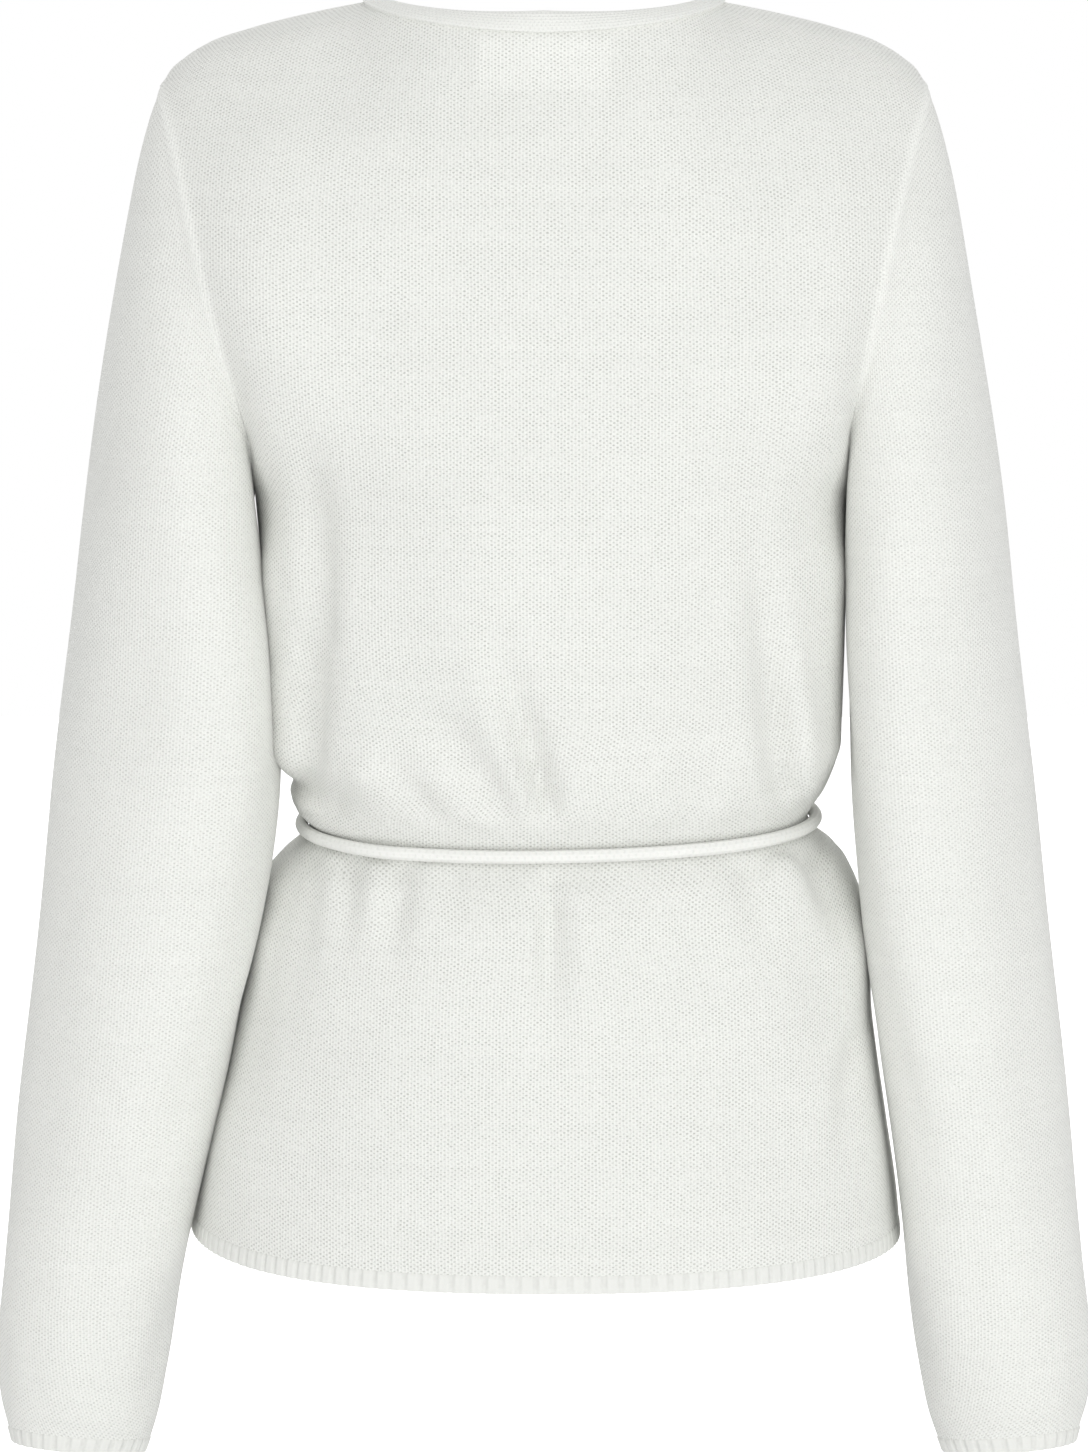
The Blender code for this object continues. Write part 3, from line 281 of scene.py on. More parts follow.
# Gathers beside the belt and the slow unevenness of soft cloth
GATHER_REACH = 17.0
GATHER_DEPTH = 0.55
SLOW_DEPTH = 0.35

# Seams stand up as soft ridges; the sleeve seam turns out from a point inside the arm
ARM_MIDDLE = (150.0, -6.0, -128.0)
ARMHOLE_RIDGE = 1.15
SIDE_RIDGE = 0.5
SHOULDER_RIDGE = 0.7
SHOULDER_SLOPE = (0.23, 0.0, 0.97)
RIDGE_REACH = 2.6
SEAM_FADE = 14.0
SEAM_REACH = 2.9

# Easing of the panels: rows averaged, and reaches at the edges, at the line, the top and the neck
SOFT_ROWS = 5
SOFT_EDGE = 9.0
SOFT_LINE = 16.0
SOFT_TOP = 22.0
SOFT_NECK = 60.0

# Cloth on the rings: form of the folds, belt groove eased beside the cord, fuller corners behind
FOLD_STRENGTH = 1.3
FOLD_WIDENING = 0.9
FOLD_START = 0.1
FOLD_END = 0.8
FACING_EASE = 4.0
SHOULDER_OF_FOLD = 0.38
SHOULDER_OF_SLEEVE_FOLD = 0.4
SHOULDER_PLACE = 1.9
SHOULDER_WIDTH = 1.1
SLEEVE_FOLD_SHIFT = 9.0
SLEEVE_SLOW_DEPTH = 0.25
BELT_FILL = 2.6
BELT_FILL_REACH = 7.0
CORNER_TURN = 0.46
CORNER_SPREAD = 0.25
# Fullness, upper level and its fade, lower level and its fade
CORNERS = (
    (7.0, YOKE_HEIGHT, 40.0, -350.0, 24.0),
    (5.5, -384.0, 40.0, -556.0, 60.0),
)

# Knit: its gaps with their painted shade, its stitches, where its rows turn over the shoulders, its
# fuzz and its tones
GAP_SHADE_TONE = 0.65
GAP_SHADE_WARMTH = 0.98
KNIT_BUMP = 0.45
COURSE_TURN = -95.0
COURSE_TURN_REACH = 45.0
BUMP_STRENGTH = 0.6
FUZZ_SCALE = 2600.0
FUZZ_HEIGHT = 0.35
SHEEN = 0.35
UNEVENNESS = 0.05
# Near the seams the doubled knit has less painted shade in its gaps, and a painted highlight lies
# along the seam ridges
LESS_GAP_SHADE_AT_SEAM = -0.6
SEAM_HIGHLIGHT = 0.035
# Painted light: a lighter patch where the label behind the thin knit sends light back through it
LABEL_LIGHT_THROUGH = 0.05

# Blank label inside the back of the neck
LABEL_HALF_WIDTH = 28.5
LABEL_TOP = -16.0
LABEL_BOTTOM = -38.0
LABEL_CLEARANCE = 0.5
LABEL_LOOK_FROM = -30.0
LABEL_LOOK_TO = (0.0, 0.95, 0.3)
LABEL_SOFT_EDGE = 2.5
LABEL_COLUMNS = 39
LABEL_ROWS = 16

# Rows and columns of the fine sheets, ribs, bands and cords, with their small sizes
BACK_COLUMNS = 156
FRONT_COLUMNS = 96
PANEL_UPPER_ROWS = 92
BELT_ROWS_FROM = BELT_HEIGHT - 33.0
BELT_ROWS_TO = BELT_HEIGHT + 29.0
ROWS_BELOW_BELT = 58
ROWS_AT_BELT = 42
ROWS_ABOVE_BELT = 48
BACK_CROWDING = 0.55
FRONT_CROWDING = 0.4
UPPER_CROWDING = 0.5
CAP_CROWDING = 0.3
SLEEVE_AROUND = 128
SLEEVE_ROWS = 172
CAP_ROWS = 50
RIB_CELLS = 6
RIB_ROWS = 7
RIB_ROUND_FROM = 0.86
RIB_ROUND_REACH = 0.17
RIB_ROUND_DROP = 0.9
RIB_SEAM_REACH = 0.12
RIB_SEAM_DROP = 0.25
BAND_COLUMNS = 8
BAND_OVERLAP = 1.2
BAND_THICKNESS = 1.8
NECK_BAND_ROWS = 121
NECK_BAND_RISE = 0.4
FRONT_BAND_RISE = 0.3
UNDER_BAND_DIP = 0.6
FRONT_LINE = 100.0
LABEL_THICKNESS = 0.6
CORD_SIDES = 24
CORD_SPACING = 1.6
BELT_POINTS = 480
BELT_END_POINTS = 14
KNOT_TIGHTNESS = 0.93

# Studio: sky strength, floor, camera and soft lights by name, place, size and power
SKY = 0.6
FLOOR_HEIGHT = -1.25
CAMERA_DISTANCE = 2.4
CAMERA_DOWN = 7.6676
CAMERA_LENS = 133.42
CAMERA_SENSOR = 36.0
FLOOR_SIZE = 14.0
LIGHT_TARGET = (0.0, 0.0, -0.3)
LIGHTS = (
    ("key", (-1.0, 3.1, 1.2), 2.0, 18.0),
    ("camera_fill", (0.1, 3.4, -0.4), 1.2, 8.0),
    ("left_side", (2.1, 2.7, -0.3), 1.6, 15.0),
    ("right_side", (-2.1, 2.7, -0.3), 1.6, 18.0),
    ("front", (0.6, -3.2, 1.2), 2.4, 36.0),
    ("top", (0.0, 0.9, 2.9), 2.6, 11.0),
)

STEP = 1e-4
WELD = 1e-6
SHARP_ANGLE = 60.0
HEM_POINTS = 200
FINDING_STEPS = 32


def smooth_table(value, keys, values):
    """Reads a smooth curve through the rows of a table whose keys rise."""
    keys = np.asarray(keys, dtype=float)
    values = np.asarray(values, dtype=float)
    slopes = np.gradient(values, keys)
    value = np.clip(np.asarray(value, dtype=float), keys[0], keys[-1])
    low = np.clip(np.searchsorted(keys, value, side="right") - 1, 0, len(keys) - 2)
    span = keys[low + 1] - keys[low]
    part = (value - keys[low]) / span
    rise = values[low + 1] - values[low]
    start = slopes[low] * span
    end = slopes[low + 1] * span
    bend = 3 * rise - 2 * start - end + part * (start + end - 2 * rise)
    return values[low] + part * (start + part * bend)


def column(table, names, name):
    """Values of a table's named column."""
    return np.array([row[names.index(name)] for row in table])


def reader(table, names, place):
    """Function that reads a table's named column as a smooth curve, at a place in its first one."""
    keys = column(table, names, names[0])
    return lambda name: smooth_table(place, keys, column(table, names, name))


def outward(side):
    """Sign of x on a side of the wearer."""
    return 1.0 if side == "left" else -1.0


def smooth_step(value):
    """Soft step from 0 at 0 to 1 at 1."""
    value = np.clip(value, 0.0, 1.0)
    return value * value * (3.0 - 2.0 * value)


def cosine_fall(distance, reach):
    """Pull that falls from 1 at a seam to 0 at its reach."""
    return (0.5 + 0.5 * np.cos(math.pi * np.clip(distance / reach, 0.0, 1.0)))[..., None]


def point_array(*parts):
    """Points or pairs made of their separate coordinates."""
    return np.stack(np.broadcast_arrays(*parts), axis=-1)


def unit(vectors):
    """Vectors of length one."""
    return vectors / np.maximum(np.linalg.norm(vectors, axis=-1, keepdims=True), 1e-12)


def bezier(first, second, third, last, share):
    """Point on the curve that leaves first towards second and reaches last from third."""
    share = np.asarray(share)[..., None]
    rest = 1.0 - share
    return (rest ** 3 * first + 3 * rest ** 2 * share * second
            + 3 * rest * share ** 2 * third + share ** 3 * last)


def crease_offset(across, height, facing):
    """How far the large creases push the torso out, or in below zero, in millimetres."""
    offset = np.zeros(np.broadcast(across, height, facing).shape)
    for from_x, from_z, to_x, to_z, width, depth, side in TORSO_CREASES:
        along = np.clip((height - from_z) / (to_z - from_z), 0.0, 1.0)
        centre = from_x + (to_x - from_x) * along
        reach = np.exp(-((across - centre) / width) ** 2)
        fade = np.sin(math.pi * np.sqrt(along)) ** 2
        offset = offset + depth * reach * fade * smooth_step(facing * side * FACING_EASE)
    return offset


def trough(away, shoulder):
    """Section of a fold: a trough of depth one with a low soft shoulder on each side."""
    beside = (np.abs(away) - SHOULDER_PLACE) / SHOULDER_WIDTH
    return np.exp(-away ** 2) - shoulder * np.exp(-beside ** 2)


def fold_offset(across, height, facing):
    """Smaller folds: each is a narrow trough with soft shoulders that fades out along a bend."""
    offset = np.zeros(np.broadcast(across, height, facing).shape)
    for x0, z0, x1, x2, z2, width, depth, side in FINE_FOLDS:
        along = np.clip((height - z0) / (z2 - z0), 0.0, 1.0)
        rest = 1.0 - along
        centre = rest * rest * x0 + 2.0 * along * rest * x1 + along * along * x2
        spread = width * (1.0 + FOLD_WIDENING * along)
        reach = trough((across - centre) / spread, SHOULDER_OF_FOLD)
        fade = smooth_step(along / FOLD_START) * smooth_step(rest / FOLD_END)
        offset = offset + depth * reach * fade * smooth_step(facing * side * FACING_EASE)
    return FOLD_STRENGTH * offset


def gather_offset(angle, height):
    """Small uneven gathers that run out of the belt above and below it, and a slow unevenness."""
    away = height - BELT_HEIGHT
    reach = np.exp(-np.abs(away) / GATHER_REACH) * smooth_step((np.abs(away) - 5.0) / 7.0)
    flip = np.where(away > 0.0, 0.0, 1.7)
    waves = (np.sin(17.0 * angle + 1.6 * np.sin(3.0 * angle) + flip)
             + 0.7 * np.sin(29.0 * angle + 2.1 * np.sin(5.0 * angle + flip))
             + 0.5 * np.sin(43.0 * angle + flip * 2.0))
    slow = (np.sin(3.0 * angle + height / 47.0) + np.sin(5.0 * angle - height / 33.0 + 1.3)
            + 0.7 * np.sin(8.0 * angle + height / 26.0 + 0.4))
    return GATHER_DEPTH * waves * reach + SLOW_DEPTH * slow * smooth_step(np.abs(away) / 40.0)


def cloth_offset(points):
    """All the smaller folds at places on the torso, in millimetres along its normals."""
    facing = points[..., 1] / 100.0
    angle = np.arctan2(points[..., 1], 0.8 * points[..., 0])
    gathers = gather_offset(angle, points[..., 2]) * smooth_step(np.abs(facing) * FACING_EASE)
    return fold_offset(points[..., 0], points[..., 2], facing) + gathers


def corner_fill(cosine, sine, height):
    """Fuller cloth where the back turns to the sides, beside the sleeves, in millimetres."""
    turn = np.arctan2(sine, np.abs(cosine))
    reach = np.exp(-((turn - CORNER_TURN) / CORNER_SPREAD) ** 2) * smooth_step(FACING_EASE * sine)
    full = 0.0
    for fullness, top, top_fade, bottom, bottom_fade in CORNERS:
        level = smooth_step((top - height) / top_fade)
        full = full + fullness * level * smooth_step((height - bottom) / bottom_fade)
    return reach * full


def torso(angle, height):
    """Point of the torso's outside: angle 0 is the left side seam, a quarter turn the back."""
    angle, height = np.broadcast_arrays(np.asarray(angle, float), np.asarray(height, float))
    size = reader(TORSO_SECTIONS, TORSO_COLUMNS, height)
    cosine = np.cos(angle)
    sine = np.sin(angle)
    wide = np.where(cosine >= 0.0, size("left"), size("right"))
    deep = np.where(sine >= 0.0, size("behind"), size("front"))
    square = TORSO_SQUARENESS
    x = wide * (cosine + square * np.cos(3 * angle)) / (1 + square)
    y = deep * (sine - square * np.sin(3 * angle)) / (1 + square)
    out = unit(point_array(cosine / wide, sine / deep, np.zeros(angle.shape)))
    offset = crease_offset(x, height, sine) + corner_fill(cosine, sine, height)
    offset = offset + BELT_FILL * np.exp(-((height - BELT_HEIGHT) / BELT_FILL_REACH) ** 2)
    rise = np.where(cosine >= 0.0, HEM_RISE_LEFT, HEM_RISE_RIGHT) * cosine ** 4
    rise = rise * smooth_step((HEM_RISE_TOP - height) / HEM_RISE_REACH)
    near_belt = np.exp(-((height - BELT_HEIGHT) / BELT_TILT_REACH) ** 2)
    rise = rise - near_belt * (BELT_TILT_LEFT * cosine + BELT_TILT_BEHIND * sine)
    return point_array(x, y, height + rise) + out * offset[..., None]


def square_to(along):
    """Level directions square to the given ones, on their right."""
    return unit(point_array(along[..., 1], -along[..., 0], 0.0))


def ring_normals(angle, height):
    """Outward normals of the torso rings, level with the ground."""
    return square_to(torso(angle + STEP, height) - torso(angle - STEP, height))


def armhole(side, turn):
    """Point of the armhole seam and the lead of the sleeve out of it; turn in degrees."""
    turns = column(ARMHOLE_POINTS, ARMHOLE_COLUMNS, "turn")

    def size(name):
        values = column(ARMHOLE_POINTS, ARMHOLE_COLUMNS, name)
        keys = np.concatenate((turns[-3:-1] - 360.0, turns, turns[1:3] + 360.0))
        values = np.concatenate((values[-3:-1], values, values[1:3]))
        return smooth_table(np.mod(turn, 360.0), keys, values)

    sign = outward(side)
    seam = point_array(sign * size(side), size("back"), size("height"))
    lead = point_array(sign * size("lead_out"), size("lead_back"), size("lead_up"))
    return seam, lead


def shoulder(side, share):
    """Point of the shoulder seam, from the tip at share 0 to the neck at share 1."""
    out = SHOULDER_TIP + (NECK_POINT - SHOULDER_TIP) * share
    height = smooth_table(out, SHOULDER_OUT, SHOULDER_HEIGHT)
    return point_array(outward(side) * out, 0.0 * out, height)


def neck_seam(share):
    """Back neck seam from the left neck point at 0 to the right one at 1."""
    angle = math.pi * np.asarray(share)
    drop = np.abs(np.sin(angle)) ** NECK_DROP_POWER
    height = NECK_POINT_HEIGHT - NECK_DROP * drop
    return point_array(NECK_POINT * np.cos(angle), NECK_BEHIND * np.sin(angle), height)


def yoke_blend(bottom_point, share, top, guide):
    """Column of cloth from the underarm line up over a guide to its top seam."""
    bottom, rise = bottom_point
    span = np.linalg.norm(top - bottom, axis=-1, keepdims=True)
    return bezier(bottom, bottom + rise * span * YOKE_PULL, guide, top, share)


def torso_rise(angle):
    """Torso point on the underarm line with the direction in which the cloth rises there."""
    bottom = torso(angle, YOKE_HEIGHT)
    return bottom, unit(bottom - torso(angle, YOKE_HEIGHT - 1.0))


def back_top(across):
    """Top seam of the back panel and the guide that leads the cloth into it."""
    across = np.asarray(across, dtype=float)
    half = np.minimum(across, 1.0 - across)
    sign = np.where(across <= 0.5, 1.0, -1.0)
    seam = shoulder("left", np.clip(half / NECK_SHARE, 0.0, 1.0)) * point_array(sign, 1.0, 1.0)
    share = np.clip((across - NECK_SHARE) / (1.0 - 2.0 * NECK_SHARE), 0.0, 1.0)
    top = np.where((half < NECK_SHARE)[..., None], seam, neck_seam(share))
    guide = point_array(
        sign * smooth_table(half, GUIDE_SHARE, GUIDE_OUT),
        smooth_table(half, GUIDE_SHARE, GUIDE_BEHIND),
        smooth_table(half, GUIDE_SHARE, GUIDE_HEIGHT))
    return top, guide


def back_panel(across, height, share):
    """Back panel: across runs 0 to 1 from left to right; share is over 0 above the underarms."""
    lower = torso(math.pi * across, height)

    def plain(place):
        top, guide = back_top(place)
        return yoke_blend(torso_rise(math.pi * place), share, top, guide)

    upper = plain(across)
    for side, edge, distance in (("left", 0.0, across), ("right", 1.0, 1.0 - across)):
        seam = armhole(side, 180.0 * (1.0 - share))[0]
        pull = cosine_fall(distance, BACK_PULL_REACH)
        upper = upper + pull * (seam - plain(np.full_like(across, edge)))
    return np.where((share > 0.0)[..., None], upper, lower)


def front_angle(across, height):
    """Torso angle of the point in front that lies a distance across at a height."""
    low = np.full(np.shape(across), math.pi * 1.1)
    high = np.full(np.shape(across), math.pi * 1.9)
    for _ in range(FINDING_STEPS):
        middle = 0.5 * (low + high)
        under = torso(middle, height)[..., 0] < across
        low = np.where(under, middle, low)
        high = np.where(under, high, middle)
    return 0.5 * (low + high)


def edge_angle(side, height):
    """Torso angle of a front panel's wrap edge, found from how far it lies past the centre."""
    past = smooth_table(height, EDGE_HEIGHT, EDGE_PAST_CENTRE)
    return front_angle(past if side == "right" else -past, height)


def neckline(side, share):
    """Front neckline seam from the underarm line at share 0 up to the neck point at 1."""
    out = smooth_table(share, NECKLINE_SHARE, NECKLINE_OUT)
    depth = smooth_table(share, NECKLINE_SHARE, NECKLINE_DEPTH)
    height = smooth_table(share, NECKLINE_SHARE, NECKLINE_HEIGHT)
    return point_array(outward(side) * out, -depth, height)


def front_panel(side, across, height, share):
    """Front panel: across runs 0 to 1 from its side seam to its wrap edge."""
    seam_angle = math.pi if side == "right" else 2.0 * math.pi
    edge = edge_angle(side, height[:, :1])
    lower = torso(seam_angle + (edge - seam_angle) * across, height)
    line_angle = edge_angle(side, np.full((1, 1), YOKE_HEIGHT))

    def plain(place):
        top = shoulder(side, place)
        lead = point_array(
            0.0 * place, FRONT_LEAD_OUT + FRONT_LEAD_CHANGE * place,
            FRONT_LEAD_DOWN - FRONT_LEAD_CHANGE * place)
        bottom = torso_rise(seam_angle + (line_angle - seam_angle) * place)
        return yoke_blend(bottom, share, top, top + lead)

    upper = plain(across)
    seam = armhole(side, 180.0 + 180.0 * share)[0]
    pull = cosine_fall(across, FRONT_PULL_REACH)
    upper = upper + pull * (seam - plain(np.zeros_like(across)))
    edge_pull = smooth_step(across)[..., None]
    upper = upper + edge_pull * (neckline(side, share) - plain(np.ones_like(across)))
    return np.where((share > 0.0)[..., None], upper, lower)


def wrap_lift(points):
    """How far the right front is lifted where it passes over the left one."""
    x = points[..., 0]
    height = points[..., 2]
    under_edge = -smooth_table(height, EDGE_HEIGHT, EDGE_PAST_CENTRE) - BAND_WIDTH
    above = np.clip(height - YOKE_HEIGHT, 0.0, None)
    lift = smooth_step((x - (under_edge + above) + LIFT_START) / LIFT_REACH)
    return LAYER_RISE * lift * (points[..., 1] < 0.0)


def sleeve_ring(side, turn, height):
    """Point of the sleeve's outside below the armhole; turn 0 is outside, 90 behind."""
    angle = np.radians(turn)
    size = reader(SLEEVE_SECTIONS, SLEEVE_COLUMNS, height)
    outer = size("outer")
    inner = size(side)
    lean = size("lean")
    centre = 0.5 * (outer + inner)
    half = np.sqrt((0.5 * (outer - inner)) ** 2 - lean ** 2)
    x = centre + half * np.cos(angle) - lean * np.sin(angle)
    y = size("middle") + size("deep") * np.sin(angle)
    lower_share = smooth_step((SLEEVE_TOP - height) / (SLEEVE_TOP - CUFF_TOP))
    slant = CUFF_SLOPE * (x - centre) + CUFF_SLOPE_BEHIND * (y - size("middle"))
    z = height + lower_share * slant
    return point_array(outward(side) * x, y, z)


def sleeve(side, turn, height, share):
    """Sleeve: share runs 0 to 1 down the cap, and is 1 below it, where height counts."""
    lower = sleeve_ring(side, turn, height)
    seam, lead = armhole(side, turn)
    ring = sleeve_ring(side, turn, np.full(turn.shape, SLEEVE_TOP))
    below = sleeve_ring(side, turn, np.full(turn.shape, SLEEVE_TOP - 1.0))
    span = np.linalg.norm(ring - seam, axis=-1, keepdims=True)
    rise = unit(ring - below)
    upper = bezier(seam, seam + lead, ring + rise * span * YOKE_PULL, ring, share)
    return np.where((share < 1.0)[..., None], upper, lower)


def sleeve_fold_offset(side, turn, points):
    """Soft folds down a sleeve; the two sleeves differ a little."""
    shift = 0.0 if side == "left" else SLEEVE_FOLD_SHIFT
    height = points[..., 2]
    offset = np.zeros(height.shape)
    for middle, level, half_turn, half_height, lean, depth in SLEEVE_FOLDS:
        centre = middle + shift + lean * (height - level)
        away = (turn - centre + 180.0) % 360.0 - 180.0
        reach = trough(away / half_turn, SHOULDER_OF_SLEEVE_FOLD)
        offset = offset + depth * reach * np.exp(-((height - level - shift) / half_height) ** 2)
    angle = np.radians(turn)
    slow = np.sin(2.0 * angle + height / 31.0 + shift) + np.sin(4.0 * angle - height / 23.0)
    return offset + SLEEVE_SLOW_DEPTH * slow * smooth_step((-60.0 - height) / 60.0)


def grid_normals(points, flip=1.0):
    """Unit normals of a grid of points, columns turning to rows by the right hand."""
    return unit(np.cross(np.gradient(points, axis=1), np.gradient(points, axis=0))) * flip


def ring_grid_normals(points, flip):
    """As grid_normals, for a ring whose last column repeats the first."""
    wide = np.concatenate((points[:, -2:-1], points, points[:, 1:2]), axis=1)
    return grid_normals(wide, flip)[:, 1:-1]


def run_lengths(points, axis):
    """Distance along the rows or columns of a grid, from 0 at the first point."""
    steps = np.linalg.norm(np.diff(points, axis=axis), axis=-1)
    start = np.zeros_like(np.take(steps, [0], axis=axis))
    return np.concatenate((start, np.cumsum(steps, axis=axis)), axis=axis)


def edge_distances(points):
    """Distances of a panel's points from its first column, from its last one and from its top."""
    across = run_lengths(points, 1)
    down = run_lengths(points, 0)
    return across, across[:, -1:] - across, down[-1] - down


def line_lengths(points):
    """Distance along a line of points, from 0 at the first one."""
    return run_lengths(points[None], 1)[0]


def crowded(count, ease):
    """Shares from 0 to 1 that lie closer together towards both ends."""
    share = np.linspace(0.0, 1.0, count)
    return share - ease * np.sin(2.0 * math.pi * share) / (2.0 * math.pi)


def knit_places(points, reference):
    """Cloth coordinates in millimetres: across from an upright line at reference, and up."""
    run = run_lengths(points[..., :2], 1)
    turn = 1.0 if points[0, -1, 0] > points[0, 0, 0] else -1.0
    rows = points[..., 0] * turn
    level = [np.interp(reference * turn, row, along) for row, along in zip(rows, run)]
    steps = np.abs(np.diff(points, axis=0))
    over = smooth_step((points[1:, :, 2] - COURSE_TURN) / COURSE_TURN_REACH)
    steps = steps[..., 2] + over * (np.hypot(steps[..., 1], steps[..., 2]) - steps[..., 2])
    climb = np.concatenate((np.zeros((1, steps.shape[1])), np.cumsum(steps, axis=0)), axis=0)
    return point_array(run - np.array(level)[:, None], climb)


def panel_rows():
    """Heights below the underarm line, closer together at the belt, and shares above it."""
    lower = np.concatenate((
        np.linspace(HEM_RIB_TOP, BELT_ROWS_FROM, ROWS_BELOW_BELT, endpoint=False),
        np.linspace(BELT_ROWS_FROM, BELT_ROWS_TO, ROWS_AT_BELT, endpoint=False),
        np.linspace(BELT_ROWS_TO, YOKE_HEIGHT, ROWS_ABOVE_BELT)))
    upper = crowded(PANEL_UPPER_ROWS + 1, UPPER_CROWDING)[1:]
    height = np.concatenate((lower, np.full(len(upper), YOKE_HEIGHT)))
    share = np.concatenate((np.zeros(len(lower)), upper))
    return height[:, None], share[:, None]


def from_arm(points, side):
    """Directions that point out from the middle of the arm to the sleeve seam."""
    return unit(points - np.array(ARM_MIDDLE) * (outward(side), 1.0, 1.0))


def raise_seam(points, normals, distance, direction, height):
    """Raises the cloth beside a seam along normals that turn into the seam's own direction."""
    reach = np.exp(-(distance / RIDGE_REACH) ** 2)[..., None]
    return points + unit(normals * (1.0 - reach) + direction * reach) * reach * height


def blend_edges(points, normals, side_of_columns):
    """Adds the smaller folds, which die away at the seams, and raises the seams themselves."""
    *distances, from_top = edge_distances(points)
    upper = points[..., 2] > YOKE_HEIGHT
    weight = smooth_step(from_top / SEAM_FADE)
    for distance, side in zip(distances, side_of_columns):
        if side:
            weight = weight * np.where(upper, smooth_step(distance / SEAM_FADE), 1.0)
    moved = points + normals * (cloth_offset(points) * weight)[..., None]
    slope = SHOULDER_SLOPE * point_array(np.sign(points[..., 0]), 0.0, 1.0)
    moved = raise_seam(moved, normals, from_top, unit(slope), SHOULDER_RIDGE)
    for distance, side in zip(distances, side_of_columns):
        if side:
            level = np.clip((points[..., 2] - YOKE_HEIGHT) / SEAM_FADE, 0.0, 1.0)[..., None]
            away = np.array((outward(side), 0.0, 0.0)) * (1.0 - level)
            direction = unit(away + from_arm(points, side) * level)
            ridge = SIDE_RIDGE + (ARMHOLE_RIDGE - SIDE_RIDGE) * level
            moved = raise_seam(moved, normals, distance, direction, ridge)
    return moved


def averaged(points, axis, spread):
    """Points drawn towards the mean of their neighbours along the rows or the columns."""
    reach = 3 * spread
    weights = np.exp(-0.5 * (np.arange(-reach, reach + 1) / spread) ** 2)
    pads = [(0, 0), (0, 0), (0, 0)]
    pads[axis] = (reach, reach)
    padded = np.pad(points, pads, mode="reflect", reflect_type="odd")
    count = points.shape[axis]
    total = 0.0
    for place, weight in enumerate(weights / weights.sum()):
        total = total + weight * np.take(padded, np.arange(place, place + count), axis=axis)
    return total


def soften(points):
    """Eases the turn at the underarm line and under the neck points; the edges stay in place."""
    from_first, from_last, from_top = edge_distances(points)
    inside = smooth_step(np.minimum(from_first, from_last) / SOFT_EDGE)
    at_line = np.exp(-((points[..., 2] - YOKE_HEIGHT) / SOFT_LINE) ** 2) * inside
    points = points + (averaged(points, 0, SOFT_ROWS) - points) * at_line[..., None]
    below_top = smooth_step(from_top / SOFT_TOP) * inside
    upper = smooth_step((points[..., 2] - YOKE_HEIGHT) / SOFT_NECK)
    return points + (averaged(points, 1, SOFT_ROWS) - points) * (below_top * upper)[..., None]


def panel_grid(columns, ease):
    """Share across, height and share above the underarm line of every point of a panel."""
    return np.broadcast_arrays(crowded(columns + 1, ease)[None], *panel_rows())


def back_points():
    """The back's outside, from its left side to its right one."""
    across, height, share = panel_grid(BACK_COLUMNS, BACK_CROWDING)
    points = soften(back_panel(across, height, share))
    return blend_edges(points, grid_normals(points), ("left", "right"))


def front_points(side):
    """A front's outside and its normals, from the side seam to the wrap edge."""
    across, height, share = panel_grid(FRONT_COLUMNS, FRONT_CROWDING)
    points = soften(front_panel(side, across, height, share))
    normals = grid_normals(points, -outward(side))
    if side == "right":
        points = points + normals * wrap_lift(points)[..., None]
    return blend_edges(points, normals, (side, None)), normals


def sleeve_points(side):
    """A sleeve's outside, from the armhole seam to the cuff rib, with its cloth coordinates."""
    cap = crowded(CAP_ROWS + 1, CAP_CROWDING)
    below = np.linspace(SLEEVE_TOP, CUFF_TOP, SLEEVE_ROWS + 1)[1:]
    share = np.concatenate((cap, np.ones(SLEEVE_ROWS)))[:, None]
    height = np.concatenate((np.full(CAP_ROWS + 1, SLEEVE_TOP), below))[:, None]
    turn = np.linspace(-180.0, 180.0, SLEEVE_AROUND + 1)[None]
    turn, height, share = np.broadcast_arrays(turn, height, share)
    points = sleeve(side, turn, height, share)
    normals = ring_grid_normals(points, -outward(side))
    down = run_lengths(points, 0)
    weight = smooth_step(down / SEAM_FADE) * smooth_step((down[-1] - down) / SEAM_FADE)
    moved = points + normals * (sleeve_fold_offset(side, turn, points) * weight)[..., None]
    moved = raise_seam(moved, normals, down, from_arm(points, side), ARMHOLE_RIDGE)
    return moved, sleeve_places(points)


def sleeve_places(points):
    """Cloth coordinates of a sleeve, whose stitch columns run straight up into the cap."""
    middle = SLEEVE_AROUND // 2
    run = run_lengths(points[..., :2], 1)
    run = run - run[:, middle:middle + 1]
    cap = points[:CAP_ROWS + 1, :, :2]
    low = cap.min(axis=1, keepdims=True)
    high = cap.max(axis=1, keepdims=True)
    away = (2.0 * cap - low - high) / (high - low)
    outside = math.copysign(1.0, points[CAP_ROWS, middle, 0])
    turns = np.unwrap(np.arctan2(away[..., 1], away[..., 0] * outside), axis=1)
    turns = turns - 2.0 * math.pi * np.round(turns[:, middle:middle + 1] / (2.0 * math.pi))
    order = np.argsort(turns[-1])
    run[:CAP_ROWS] = np.interp(turns[:-1], turns[-1][order], run[CAP_ROWS][order])
    return point_array(run, points[..., 2] - CUFF_TOP)


def deselect():
    """Leaves no piece selected."""
    bpy.ops.object.select_all(action="DESELECT")


